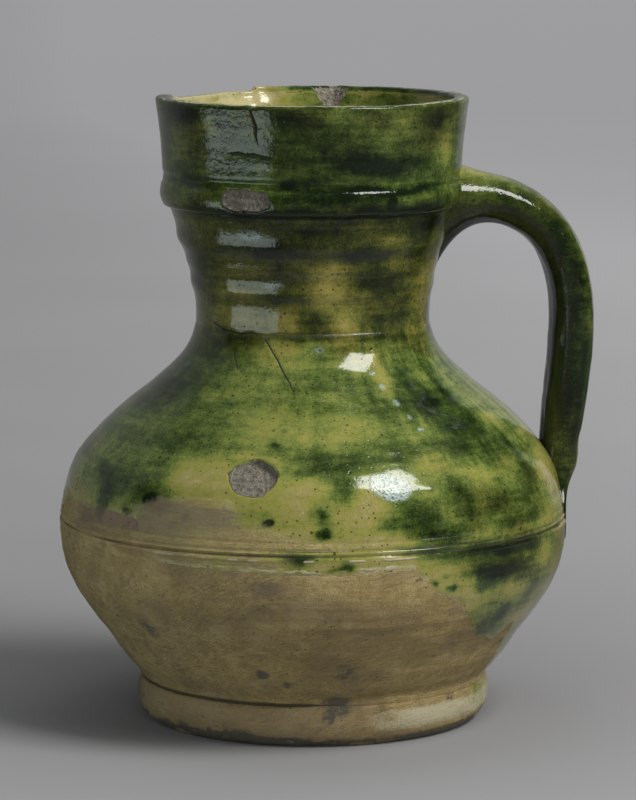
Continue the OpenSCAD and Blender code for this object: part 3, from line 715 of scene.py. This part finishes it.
rows_out, rows_lip, rows_in = len(outside), len(lip), len(inside)
neck_fields = padded(neck_fields, 0, rows_lip + rows_in, glaze=6.0)
from_top = 179.8 - level_loop
on_edge = np.exp(-((from_top / 0.8) ** 2)) * np.exp(-(((radius_loop - 43.7) / 0.6) ** 2))
patchy = blend(rough(loop, (5, 5, 2), 97) + 0.3 * blend(-np.abs(turned(loop_angle, 265)), -75, -40), -0.1, 0.35)
neck_fields["worn"] = np.maximum(neck_fields["worn"], on_edge * patchy)
lip_rows = slice(rows_out, rows_out + rows_lip)
far_left = blend(neck_angles, 92, 108) * blend(-neck_angles, -172, -158)
neck_fields["copper"][lip_rows] = 0.72 + 0.3 * rough(loop[lip_rows], 6, 100) - 0.85 * far_left
neck_fields["iron"][rows_out:] = 0.25 + 0.3 * rough(loop[rows_out:], 9, 94)
inner_rows = slice(rows_out + rows_lip, None)
neck_fields["glaze"][inner_rows] = 1.6 - np.maximum(in_levels[:, None] - 177.4, 0) * 2 * (1 - far_left) + bumps(points_in, 3, 98)
far_side = turned(neck_angles, 40)
green_side = blend(-np.abs(far_side), -72, -46)
inner_copper = -0.14 + 0.6 * green_side * blend(in_levels, 120, 165)[:, None] + 0.34 * rough(points_in, (9, 9, 4), 93)
neck_fields["copper"][inner_rows] = inner_copper
neck_fields["broken"] = np.maximum(neck_fields["broken"], np.where(cut > 0.02, 0.5 + cut, -4))
neck = made_mesh("thrown_neck", loop, neck_fields, joined_rows=True)

# %% [markdown]
# ## The lining
# Inside, the pot has a clear honey glaze with throwing rings under it. It is a bowl with a thin wall of
# its own, closed at the top edge and at the middle of the floor.

# %% Build the lining
lining_angles = round_the_pot(2.2, 2.2, 2.2, BELLY_R)
up = laid_out(20, 117, lambda z: 1.5 / np.hypot(1, lean(z)))


def lining_ring(level, inset):
    """Radius of the lining at a height: the bore, less the inset."""
    return bore_of_body(level) - inset


def lining_face(inset):
    """Points of one face of the lining, from the edge of the floor's middle up to the neck."""
    quarter = np.radians(np.linspace(8, 82, 9))
    wall_r = float(lining_ring(20.0, inset))
    turn = np.stack([31.5 + (wall_r - 31.5) * np.sin(quarter), 20 - (14 - inset) * np.cos(quarter)], -1)
    flat = np.stack([np.linspace(4, 30, 12), np.full(12, 6 + inset)], -1)
    side = np.stack([lining_ring(up, inset), up], -1)
    face = rings(lining_angles, np.concatenate([flat, turn, side]))
    radius = np.hypot(face[..., 0], face[..., 1])
    ringed = 0.12 * bumps(np.stack([radius, radius, face[..., 2]], -1), 2.4, 101) * blend(radius, 3, 10)
    face[..., 2] += ringed * (face[..., 2] < 8)
    squeeze = 1 - ringed / np.maximum(radius, 1) * (face[..., 2] >= 8)
    face[..., :2] *= squeeze[..., None]
    return face


seen, hidden = lining_face(0.3), lining_face(0.02)
bowl = np.concatenate([hidden, seen[::-1]])
bowl_fields = numbers(bowl.shape[:2], glaze=8.0, copper=0.02 + 0.25 * rough(bowl, 16, 102),
                      thin=0.5 * blend(rough(bowl, 14, 103), 0, 0.6))
lining = made_mesh("honey_lining", bowl, bowl_fields, poles=((0, 0, 6.02), (0, 0, 6.3)))

# %% [markdown]
# ## The foot
# A coil was luted round the base. At the left its seam stands open, and in front it was smoothed over.
# Its lower edge is worn and knocked. The section is a closed loop, so the coil is one solid ring.

# %% Build the foot
foot_angles = round_the_pot(0.55, 0.6, 1.1, 51)
SECTION = [(45.2, 0.0), (46.2, 0.0), (47.0, 0.12), (47.9, 0.7), (48.9, 1.6), (49.8, 2.9), (50.5, 4.4), (50.9, 5.9),
           (51.0, 7.2), (50.95, 8.5), (50.75, 9.7), (50.45, 10.7), (50.1, 11.5), (49.7, 12.0), (49.2, 12.3),
           (48.6, 12.2), (48.0, 11.5), (47.4, 10.0), (46.4, 8.2), (45.4, 6.0), (45.15, 4.0), (45.15, 2.0)]


def denser(section, count):
    """The same closed section with count points, evenly spaced along it and eased round its corners."""
    p = np.array(section + section[:1], float)
    run = np.concatenate([[0], np.cumsum(np.hypot(*np.diff(p, axis=0).T))])
    at = np.linspace(0, run[-1], count, endpoint=False)
    q = np.stack([np.interp(at, run, p[:, k]) for k in (0, 1)], -1)
    for _ in range(2):
        q = (np.roll(q, 1, 0) + 2 * q + np.roll(q, -1, 0)) / 4
    return q


foot_rz = denser(SECTION, 84)
angle = np.broadcast_to(foot_angles, (len(foot_rz), len(foot_angles)))
a = np.radians(angle)
r, z = foot_rz[:, 0][:, None] + 0 * a, foot_rz[:, 1][:, None] + 0 * a
points = np.stack([r * np.cos(a), r * np.sin(a), z], -1)
outer = blend(r, 46.5, 48.5)
top = blend(z, 9.5, 12)
closing = blend(turned(angle, 262), -6, 10) * blend(-turned(angle, 262), -172, -140)
swelled = 0.22 * rough(points, (12, 12, 7), 111) + 0.1 * bumps(points, 2.6, 112)
knocks = np.maximum(rough(points, (4, 4, 2.2), 113) - 0.12, 0) * 1.6 * blend(-z, -3.4, -0.8)
r = r + outer * (swelled - knocks) + top * closing * 0.25
z = z + np.maximum(knocks * 0.35, 0) * outer + top * closing * 0.5 - 0.35 * top * (1 - closing)
z = np.maximum(z, 0)
ring = np.stack([r * np.cos(a), r * np.sin(a), z], -1)
off_splash = np.hypot(turned(angle, 336) / 8.5, (z - 9.5) / 5.5)
splash = np.where(off_splash < 1.4, (1 - off_splash) * 4 + 0.7 * rough(points, 3, 115), -3)
crusted = 0.8 * np.exp(-((turned(angle, 247) / 24) ** 2)) + 0.35 * np.exp(-((turned(angle, 302) / 14) ** 2))
crust = blend(-z, -4.6, -0.6) * blend(rough(points, (7, 7, 2.2), 117) + crusted, -0.25, 0.3)
crust = crust * (1 - 0.7 * np.exp(-((turned(angle, 288) / 24) ** 2)))
# On the foot, the mauve field darkens the left side and the worn field lightens the right side: painted shade and
# painted light from the key at the right. The dark line along the top of the coil, where the seam stands open, is
# painted shade.
foot_fields = numbers(
    a.shape, glaze=np.clip(splash, -6, 6), copper=0.3 + 0.25 * rough(points, 4, 116),
    broken=np.clip(knocks * 3 - 0.4, -4, 2) * outer - 4 * (1 - outer),
    mauve=0.5 * np.exp(-((turned(angle, 291) / 9) ** 2)) * blend(-z, -6, -2) + 0.6 * blend(-turned(angle, 278), -6, 10),
    worn=(0.62 + 0.3 * rough(points, (9, 9, 4), 114)) * blend(turned(angle, 284), -16, 12) * blend(z, 2, 6) * blend(-z, -12, -9),
    smudge=2 * crust + 0.5 * patches(angle, np.maximum(z, FOOT_H + 0.2), [(273, 12.5, 5, 2, 1.6)]) * blend(z, 7, 11)
    + 0.5 * blend(rough(points, (6, 6, 4), 119), 0.1, 0.5),
    soil=(1 - closing) * np.clip(1.2 - np.abs(z - 12.3 + 0.2 * bumps(points, 3, 118)) / 0.55, 0, 1) * blend(angle, 160, 175) * blend(-angle, -340, -320))
foot = made_mesh("foot_coil", ring, foot_fields, joined_rows=True)

# %% [markdown]
# ## The strap
# The handle was pulled like a strap, bent over and pressed on: it flares where it leaves the collar,
# with a long web below, and it was thumbed down flat on the belly. The strap is a section carried along
# a curve of two joined Bezier arcs. At the tail the section turns into a low ridge that lies on the
# wall, so the clay runs out into the belly without a step.

# %% The path of the strap
STRAP_T, STRAP_W, STRAP_TOP_W = 12.4, 19.5, 24
root_x, tail_x = float(clay_radius(151.0)), float(thrown_radius(46.0)) - 0.2
BEND = (BELLY_R + 8.4 - STRAP_T / 2, 114.5)
OVER = np.array([(root_x - 8, 151), (root_x + 18, 154.6), (BEND[0], BEND[1] + 26), BEND])
DOWN = np.array([BEND, (BEND[0], BEND[1] - 23), (tail_x - 3, 74), (tail_x, 46)])


def bezier(corners, t):
    """A cubic Bezier arc: each corner's pull rises and falls along t."""
    t = t[:, None]
    return (corners[0] * (1 - t) ** 3 + corners[1] * 3 * t * (1 - t) ** 2
            + corners[2] * 3 * t**2 * (1 - t) + corners[3] * t**3)


path = np.vstack([bezier(OVER, np.linspace(0, 1, 400)), bezier(DOWN, np.linspace(0, 1, 400))[1:]])
run = np.concatenate([[0], np.cumsum(np.hypot(*np.diff(path, axis=0).T))])
at = laid_out(7.0, run[-1], lambda s: 0.5 + 0 * s)
path = np.stack([np.interp(at, run, path[:, k]) for k in (0, 1)], -1)
share = (at / run[-1])[:, None]
heading = np.gradient(path, axis=0)
heading /= np.hypot(*heading.T)[:, None]
outward = np.stack([-heading[:, 1], heading[:, 0]], -1)
print("strap is", round(float(run[-1]), 1), "mm long")

# %% Carry the section along it
SIDES = 112
turn_angle = np.radians(np.linspace(0, 360, SIDES, endpoint=False))[None, :]
c, s = np.cos(turn_angle), np.sin(turn_angle)
half_t = STRAP_T / 2 * (1 - 0.13 * blend(share, 0.62, 0.82) - 0.42 * blend(share, 0.82, 1))
half_w = (STRAP_W + (STRAP_TOP_W - STRAP_W) * (1 - blend(share, 0, 0.55)) + 3 * blend(share, 0.82, 1)) / 2
fuller = 1 + 0.22 * blend(-share, -0.3, -0.14)
reach_out = np.where(c > 0, np.abs(c) ** 0.95, -(np.abs(c) ** 0.95) * fuller)
reach_side = np.sign(s) * np.abs(s) ** 0.85
normal, side = half_t * reach_out, half_w * reach_side
x = path[:, 0][:, None] + outward[:, 0][:, None] * normal
z = path[:, 1][:, None] + outward[:, 1][:, None] * normal
free = np.stack([x, side + 0 * x, z], -1)
uneven = 0.3 * bumps(free, (14, 14, 18), 121) + 0.12 * bumps(free, (3.2, 3.2, 16), 122) + 0.07 * bumps(free, 2.6, 123)
pulled = 0.16 * bumps(np.stack([side * 1.0 + 0 * x, normal + 0 * x, 0.05 * at[:, None] + 0 * x], -1), 2.2, 124)
dent = (-0.3 * np.exp(-(((z - 80) / 3) ** 2)) + 0.2 * np.exp(-(((z - 74) / 4) ** 2))) * blend(c, 0, 0.5)
push = (uneven + pulled + dent) * blend(share, 0.06, 0.16)
spread = np.hypot(c * half_w, s * half_t)
free[..., 0] += outward[:, 0][:, None] * push * c * half_w / spread
free[..., 2] += outward[:, 1][:, None] * push * c * half_w / spread
free[..., 1] += push * s * half_t / spread

# %% [markdown]
# The root: its first ring lies on the wall as a large oval print, a little below the surface. From
# there the strap is drawn out of the print by an S-shaped blend. On the underside the height changes
# sooner than the reach, which gives the hollow web that the potter's thumb left there.

# %% Draw the strap out of the wall
print_level = 149 + np.where(c > 0, 11.5 * np.abs(c), -26 * np.abs(c)) + 0 * at[:, None]
print_angle = np.degrees(14.5 * s / 42) + 0 * at[:, None]
print_ring = on_wall(print_angle, print_level, -0.9 + 0 * print_level)
drawn = blend(at[:, None] - at[0], 0, 10 + 3 * blend(-c, -0.3, 0.8))[..., None]
lifted = 1 - (1 - drawn[..., 0]) ** (1 + 0.8 * blend(-c, -0.2, 0.8))
raised = print_ring[..., 2] * (1 - lifted) + free[..., 2] * lifted
free = print_ring * (1 - drawn) + free * drawn
free[..., 2] = raised

# %% [markdown]
# The tail: the upper half of the section becomes a ridge whose height above the wall falls off to
# each side, and the lower half sinks a little way into the wall, where nobody sees it.

# %% Lay the tail on the belly
tail_level = np.clip(path[:, 1][:, None], 30, 200) + 0 * c
width = 10.5 + 3.2 * blend(-tail_level, -70, -60) - 7 * blend(-tail_level, -56, -48)
tail_angle = np.degrees(width * reach_side / thrown_radius(tail_level))
ridge = 4.4 * blend(tail_level, 50.5, 70)
profile = np.where(c > 0, np.abs(c) ** 1.4 * ridge + 0.35 * blend(c, 0, 0.3) * blend(tail_level, 49, 52) - 0.15,
                   -1.2 * np.abs(c) ** 0.5 - 0.05)
print_marks = 0.3 * bumps(np.stack([tail_angle, tail_level * 0.35, 0 * tail_level], -1), 4, 126)
laid = on_wall(tail_angle, tail_level, profile + print_marks * blend(c, 0.1, 0.6))
onto = blend(-tail_level, -74, -61)
strap = free * (1 - onto[..., None]) + laid * onto[..., None]
tip = strap[-1].mean(0)
strap_rough = rough(strap, (10, 10, 16), 127)
far_in = blend(-c, 0.2, 0.8)
# Dulls and darkens a strip along the near side of the strap.
dulled_near_strip = 0.46 * np.exp(-(((c + 0.3) / 0.3) ** 2)) * blend(-s, 0.1, 0.6) * blend(strap[..., 2], 70, 90)
strap_fields = numbers(strap.shape[:2], glaze=6.0, soil=dulled_near_strip,
                       iron=0.45 + 0.3 * bumps(strap, (12, 12, 20), 129),
                       copper=np.clip(0.87 - 0.1 * blend(strap[..., 2], 140, 152) + 0.25 * strap_rough + 0.1 * bumps(strap, (3, 3, 9), 128) + 0.12 * far_in
                                      - 0.42 * blend(c, 0.35, 0.95) * blend(rough(strap, (16, 16, 22), 130), -0.5, 0.3), 0, 1.4))
handle = made_mesh("pulled_strap", strap[:, ::-1], {k: v[:, ::-1] for k, v in strap_fields.items()},
                   poles=(strap[0].mean(0), tip))

# %% [markdown]
# ## Shader maths
# A material's numbers are worked out by Math nodes. A small class wraps a socket, so that an expression
# such as 1 - mask * 2 adds the nodes by itself. Everything else comes from one method, which takes a
# node's type, its settings and what goes into its sockets.


# %% Write node trees as expressions
class Wire:
    """A value on its way through a material's nodes."""

    def __init__(self, tree, socket):
        self.tree, self.socket = tree, socket

    def node(self, kind, settings=None, out=0, **inputs):
        """Adds a node, sets its settings, then its sockets by name or number, and gives one output."""
        made = self.tree.nodes.new("ShaderNode" + kind)
        for key, value in (settings or {}).items():
            if key == "stops":
                ramp = made.color_ramp
                while len(ramp.elements) < len(value):
                    ramp.elements.new(0.5)
                for element, (place, colour) in zip(ramp.elements, value):
                    element.position, element.color = place, (*colour, 1)
            else:
                setattr(made, key, value)
        for key, value in inputs.items():
            socket = made.inputs[int(key[1:]) if key[0] == "_" and key[1:].isdigit() else key.replace("_", " ")]
            if isinstance(value, Wire):
                self.tree.links.new(value.socket, socket)
            else:
                socket.default_value = value
        return Wire(self.tree, made.outputs[out])

    def maths(self, operation, *values):
        """One Math node; values stand for its sockets in order."""
        return self.node("Math", {"operation": operation}, **{f"_{i}": v for i, v in enumerate(values)})

    def __add__(self, other):
        return self.maths("ADD", self, other)

    def __sub__(self, other):
        return self.maths("SUBTRACT", self, other)

    def __mul__(self, other):
        return self.maths("MULTIPLY", self, other)

    def __rsub__(self, other):
        return self.maths("SUBTRACT", other, self)

    __radd__, __rmul__ = __add__, __mul__

    def ramp(self, low, high, bottom=0.0, top=1.0):
        """A smooth step of this value from bottom to top between low and high."""
        return self.node("MapRange", {"interpolation_type": "SMOOTHSTEP"}, Value=self, From_Min=low, From_Max=high,
                         To_Min=bottom, To_Max=top)

    def colours(self, *stops):
        """The colour that this value picks from stops (place, colour)."""
        return self.node("ValToRGB", {"stops": stops}, Fac=self)

    def over(self, below, colour):
        """This value's share of a colour laid over the one below."""
        mixed = self.node("Mix", {"data_type": "RGBA"}, out=2, _0=self)
        for slot, value in ((6, below), (7, colour)):
            socket = mixed.socket.node.inputs[slot]
            if isinstance(value, Wire):
                self.tree.links.new(value.socket, socket)
            else:
                socket.default_value = (*value, 1)
        return mixed


def started(name):
    """A new material: the wire of its Principled shader's output, and one to begin expressions with."""
    material = bpy.data.materials.new(name)
    material.use_nodes = True
    tree = material.node_tree
    shader = tree.nodes["Principled BSDF"]
    place = Wire(tree, tree.nodes.new("ShaderNodeTexCoord").outputs["Object"])
    millimetres = place.node("VectorMath", {"operation": "SCALE"}, _0=place, Scale=1000.0)
    return material, tree, shader, millimetres


# %% [markdown]
# ## The fired surface
# One material serves the whole pot, because one surface passes from clay to glaze to broken body. The
# pieces carry where each finish lies, and the nodes add what is smaller than the mesh: mottling and
# streaks of copper, pinholes, hairline crazing, the grain of the clay and the marks of scraping.

# %% Mix clay, glaze and broken body
def fired(name, honey_only=False):
    """The material of a glazed clay piece, which reads the fields that its mesh carries."""
    material, tree, shader, place = started(name)

    def field(key):
        return Wire(tree, place.node("Attribute", {"attribute_name": key}).socket.node.outputs["Fac"])

    def noise(scale, detail=4.0, stretch=(1, 1, 1), out=0, at=place):
        moved = at.node("Mapping", None, Vector=at, Scale=stretch)
        return at.node("TexNoise", None, out, Vector=moved, Scale=scale, Detail=detail, Roughness=0.55)

    glaze, copper, broken, thin = field("glaze"), field("copper"), field("broken"), field("thin")
    mauve, smudge, soil, worn, bloom = field("mauve"), field("smudge"), field("soil"), field("worn"), field("bloom")

    fine, middling, broad = noise(1.5, 5.0), noise(0.4, 4.0), noise(0.09, 4.0)
    small = noise(0.8, 3.0)
    streak = noise(0.5, 5.0, (0.14, 0.14, 1.5))
    grain = noise(3.2, 5.0)
    glazed = (glaze + (fine - 0.5) * 0.6).ramp(-0.1, 0.1)
    height = Wire(tree, place.node("SeparateXYZ", None, Vector=place).socket.node.outputs["Z"])

    def opened(key):
        """1 along a crack: the signed distance to its line, made ragged, is less than its half width."""
        wide = field(key + "_wide")
        gap = (field(key) + (fine - 0.5) * 0.3).maths("ABSOLUTE", field(key) + (fine - 0.5) * 0.3)
        return (wide - gap).ramp(-0.06, 0.08) * wide.ramp(0.02, 0.06)

    crack = opened("split").maths("MAXIMUM", opened("split"), opened("seam"))

    amount = copper - glaze.ramp(0.0, 1.6, 0.3, 0.0) + (middling - 0.5) * 0.45 + (streak - 0.5) * 0.4 + (fine - 0.5) * 0.5 + (grain - 0.5) * 0.3
    depth_of_green = amount * 0.85 + 0.15
    green = depth_of_green.colours(
        (0.0, (0.31, 0.28, 0.14)), (0.15, (0.222, 0.196, 0.07)), (0.32, (0.19, 0.186, 0.042)),
        (0.47, (0.122, 0.148, 0.034)), (0.59, (0.072, 0.1, 0.021)), (0.71, (0.036, 0.057, 0.012)),
        (0.83, (0.018, 0.031, 0.0062)), (0.94, (0.009, 0.0165, 0.005)), (1.0, (0.005, 0.0095, 0.004)))
    brown = depth_of_green.colours(
        (0.0, (0.33, 0.285, 0.135)), (0.15, (0.235, 0.2, 0.066)), (0.32, (0.185, 0.158, 0.038)),
        (0.47, (0.112, 0.104, 0.022)), (0.59, (0.062, 0.065, 0.0125)), (0.71, (0.032, 0.038, 0.0075)),
        (0.83, (0.016, 0.021, 0.005)), (0.94, (0.0085, 0.0115, 0.0038)), (1.0, (0.005, 0.007, 0.003)))
    glass = (field("iron") + (broad - 0.5) * 1.2).ramp(0.15, 0.85).over(green, brown)

    def specks(scale, inner, outer, chance):
        """Round specks, one in some of the cells of a Voronoi pattern."""
        cells = place.node("TexVoronoi", {"feature": "F1"}, Vector=place, Scale=scale)
        picked = Wire(tree, cells.socket.node.outputs["Color"])
        lucky = Wire(tree, picked.node("SeparateColor", None, Color=picked).socket)
        return (cells + (fine - 0.5) * 0.1).ramp(inner, outer, 1.0, 0.0) * lucky.ramp(chance, chance + 0.04)

    pinhole = specks(0.62, 0.1, 0.25, 0.46).maths("MAXIMUM", specks(0.62, 0.1, 0.25, 0.46), specks(0.2, 0.06, 0.13, 0.66))
    craze = place.node("TexVoronoi", {"feature": "DISTANCE_TO_EDGE"}, Vector=place, Scale=0.34).ramp(0.004, 0.025, 1.0, 0.0)
    glass = (pinhole * 0.8).over(glass, (0.010, 0.010, 0.007))
    glass = (craze * 0.3).over(glass, (0.02, 0.025, 0.01))

    scrape = noise(1.2, 4.0, (0.1, 0.1, 2.2))
    aslant = place.node("Mapping", None, Vector=place, Rotation=(0.3, 0.42, 0.0))
    scratch = noise(1.1, 3.0, (0.07, 0.2, 1.5), at=aslant)
    scratched = (scratch - 0.5).maths("ABSOLUTE", scratch - 0.5).ramp(0.0, 0.035, 1.0, 0.0) * noise(0.06, 3.0).ramp(0.38, 0.55)
    tone = broad * 0.45 + middling * 0.55 + scrape * 0.3 + (grain - 0.5) * 0.6 + (fine - 0.5) * 0.4
    clay = tone.colours(
        (0.35, (0.14, 0.1, 0.04)), (0.52, (0.2, 0.147, 0.056)), (0.64, (0.24, 0.18, 0.07)),
        (0.85, (0.33, 0.26, 0.115)))
    fired_dark = (noise(0.055, 6.0, (1, 1, 1.5)) + (middling - 0.5) * 0.3).ramp(0.5, 0.64, 0.0, 0.5)
    clay = fired_dark.over(clay, (0.14, 0.1, 0.056))
    fired_pale = (noise(0.075, 6.0, (1.2, 1.2, 2)) + (middling - 0.5) * 0.3).ramp(0.54, 0.66, 0.0, 0.35)
    clay = fired_pale.over(clay, (0.33, 0.27, 0.13))
    # Mauve-fired clay; on the left of the foot the same field darkens the clay as painted shade.
    clay = (mauve * (0.4 + middling)).ramp(0.15, 0.9, 0.0, 0.85).over(clay, (0.14, 0.102, 0.07))
    clay = (scratched * 0.5).over(clay, (0.09, 0.066, 0.042))
    speck = specks(0.42, 0.05, 0.17, 0.5)
    clay = (speck * 0.75).over(clay, (0.045, 0.038, 0.028))
    dirt = (smudge * (0.05 + small * 2.5)).ramp(0.35, 0.95, 0.0, 0.85)
    clay = dirt.over(clay, (0.055, 0.051, 0.043))
    body_grey = (grain * 0.25 + fine * 0.3 + small * 0.45).colours(
        (0.36, (0.05, 0.043, 0.032)), (0.47, (0.11, 0.097, 0.074)), (0.62, (0.2, 0.182, 0.15)))
    bare = (broken + (fine - 0.5) * 0.3).ramp(0.0, 0.2)
    dull = (thin * (0.2 + middling + streak * 0.6)).ramp(0.25, 0.85)
    glass = (dull * 0.75).over(glass, (mauve * 0.8).ramp(0.0, 0.8).over(clay, (0.14, 0.105, 0.07)))
    # Pale blue-grey lace in the highlights: painted highlight, partly weathered bloom.
    lacework = place.node("TexVoronoi", {"feature": "DISTANCE_TO_EDGE"}, Vector=place, Scale=0.9).ramp(0.05, 0.3, 1.0, 0.0)
    crust = (bloom * (0.45 + middling)).ramp(0.3, 0.8) * (lacework * 0.6 + 0.12)
    glass = crust.over(glass, (0.30, 0.36, 0.38))
    colour = glazed.over(clay, glass)
    # Pale rubbed wear on the lip, the glaze's fat edge and the burr; on the right of the foot the same field is a
    # painted light patch.
    rubbed_and_lit = (worn * (0.5 + fine)).ramp(0.3, 0.7)
    colour = rubbed_and_lit.over(colour, (0.31, 0.28, 0.18))
    colour = bare.over(colour, body_grey)
    # Dark dirt in the scored lines and the neck seam, painted shade along the open seam at the foot, and a darkened
    # strip on the strap's near side.
    grime_and_shade = (soil * (0.6 + middling * 0.8)).ramp(0.15, 0.8, 0.0, 0.88)
    colour = grime_and_shade.over(colour, (0.022, 0.018, 0.01))
    colour = (crack * 0.93).over(colour, (0.010, 0.009, 0.007))
    tree.links.new(colour.socket, shader.inputs["Base Color"])

    glossy = glazed * (1 - bare) * (1 - crack) * (1 - rubbed_and_lit * 0.6) * (1 - grime_and_shade * 0.7)
    clear = glossy * (1 - dull * 0.9)
    roughness = 0.8 + (fine - 0.5) * 0.2 - clear * (0.75 - middling.ramp(0.45, 0.7) * small * 0.14)
    tree.links.new(roughness.socket, shader.inputs["Roughness"])
    shader.inputs["IOR"].default_value = 1.6

    clay_relief = grain * 0.14 + scrape * 0.12 + middling * 0.12 + fine * 0.1 + small * 0.1 - speck * 0.15 - scratched * 0.06
    lumpy = height.ramp(105.0, 150.0, 0.25, 1.0)
    glass_relief = (middling * 0.1 + small * 0.04 + fine * 0.006) * lumpy - pinhole * 0.04 + streak * 0.02 + crust * 0.04
    relief = clay_relief * (1 - clear) + glass_relief * clear + bare * (fine * 0.3 + small * 0.8) - crack * 0.3
    bump = place.node("Bump", None, Strength=1.0, Distance=MM, Height=relief)
    tree.links.new(bump.socket, shader.inputs["Normal"])
    return material


fired_finish = fired("fired_clay_and_glaze")
for piece, replaced, slot in (
    (lower_body, ["belly"], "buff_clay"),
    (shoulder, ["belly", "outer_glaze"], "green_glaze"),
    (neck, ["neck"], "green_glaze"),
    (lining, ["inner_glaze"], "clear_glaze"),
    (foot, ["foot_ring", "foot_splash"], "buff_clay"),
    (handle, ["handle", "handle_glaze", "upper_handle_pad", "lower_handle_pad"], "green_glaze"),
):
    piece.data.materials.append(fired_finish)
    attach(piece, "root")
    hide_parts(*replaced)
print("material nodes:", len(fired_finish.node_tree.nodes))

# %% [markdown]
# ## The table and the light
# The jug stands on plain grey paper that turns up far behind. The paper is one sheet: a disc whose rim
# rises in a smooth curve all round, so every view has the same quiet ground. A large soft light stands
# low at the left, where its sharp right edge shows in the glaze, and a smaller, stronger one is high at
# the right.

# %% The paper
ring_r = np.concatenate([np.linspace(0.02, 2.4, 60), 2.4 + 0.9 * np.sin(np.radians(np.linspace(3, 90, 30))), np.full(12, 3.3)])
ring_z = np.concatenate([np.zeros(60), 0.9 - 0.9 * np.cos(np.radians(np.linspace(3, 90, 30))), np.linspace(1.0, 3.2, 12)])
paper_points = rings(np.linspace(0, 360, 128, endpoint=False), np.stack([ring_r, ring_z], -1) * 1000)
paper = made_mesh("paper", paper_points[::-1], {}, poles=(None, (0, 0, 0)))
paper_finish, tree, shader, place = started("grey_paper")
mottled = place.node("TexNoise", None, Vector=place, Scale=0.004, Detail=2.0)
tone = mottled.colours((0.3, (0.183, 0.183, 0.186)), (0.7, (0.206, 0.206, 0.209)))
shader.inputs["Roughness"].default_value = 0.9
shader.inputs["Specular IOR Level"].default_value = 0.1

away = place.node("VectorMath", {"operation": "LENGTH"}, 1, Vector=place)
ray = Wire(tree, tree.nodes.new("ShaderNodeLightPath").outputs["Is Camera Ray"])
glancing = Wire(tree, ray.socket.node.outputs["Is Glossy Ray"])
axes = place.node("SeparateXYZ", None, Vector=place)
across, depth = axes, Wire(tree, axes.socket.node.outputs["Y"])
behind = (depth - (across * 0.9).maths("MAXIMUM", across * 0.9, across * -0.1)).ramp(-100.0, 500.0)
unlit = glancing * away.ramp(110.0, 260.0) * (1 - behind)
tree.links.new((unlit * 0.85).over(tone, (0.02, 0.02, 0.02)).socket, shader.inputs["Base Color"])
far = (away * (1 / 70)).maths("LOGARITHM", away * (1 / 70), 2400 / 70)
far = far.maths("MINIMUM", far.maths("MAXIMUM", far, 0.0), 1.0)
far = far * (0.48 + far * 0.52)
lit = across.ramp(-250.0, 520.0, 0.82, 1.52)
glow = (far * ray.maths("MAXIMUM", ray, glancing * behind * 0.6) * lit).over((0.0, 0.0, 0.0), (0.3, 0.3, 0.307))
tree.links.new(glow.socket, shader.inputs["Emission Color"])
shader.inputs["Emission Strength"].default_value = 1.0
paper.data.materials.append(paper_finish)


# %% The lights
def soft_light(name, azimuth, elevation, distance, size, power, colour=(1, 1, 1), target=(0, 0, 0.1), mirrored=True):
    """A rectangular area light, seen from the jug at an azimuth right of the camera and an elevation.

    A light that isn't mirrored only fills in: the glaze doesn't show it."""
    a, e = np.radians(azimuth), np.radians(elevation)
    towards = Vector((-np.sin(TURN), -np.cos(TURN), 0)) * float(np.cos(a)) + to_right * float(np.sin(a))
    towards = (towards * float(np.cos(e)) + Vector((0, 0, float(np.sin(e))))).normalized()
    data = bpy.data.lights.new(name, "AREA")
    data.shape = "RECTANGLE"
    data.size, data.size_y = size
    data.energy = power
    data.color = colour
    lamp = bpy.data.objects.new(name, data)
    lamp.location = Vector(target) + towards * distance
    lamp.rotation_euler = towards.to_track_quat("Z", "Y").to_euler()
    lamp.visible_camera = False
    lamp.visible_glossy = mirrored
    bpy.context.scene.collection.objects.link(lamp)
    return lamp


soft_light("left_card", -57, 0, 0.30, (0.285, 0.1), 0.14, (0.84, 1.0, 0.98), (0, 0, 0.06))
soft_light("key", 54, 50, 1.3, (0.5, 0.6), 8.5, (1.0, 0.99, 0.97))
soft_light("key_fill", 54, 50, 1.35, (0.5, 0.6), 13, (1.0, 0.99, 0.97), mirrored=False)
soft_light("front_fill", -8, 20, 1.8, (2.0, 0.6), 11.5, mirrored=False)
soft_light("right_fill", 68, 18, 1.5, (1.1, 0.5), 11.5, mirrored=False)
soft_light("top_fill", 180, 72, 1.3, (1.4, 1.2), 5.5, mirrored=False)
world = bpy.data.worlds.new("room")
world.use_nodes = True
world.node_tree.nodes["Background"].inputs["Color"].default_value = (0.96, 0.98, 1.0, 1)
world.node_tree.nodes["Background"].inputs["Strength"].default_value = 0.08
bpy.context.scene.world = world
bpy.context.scene.view_settings.view_transform = "Standard"
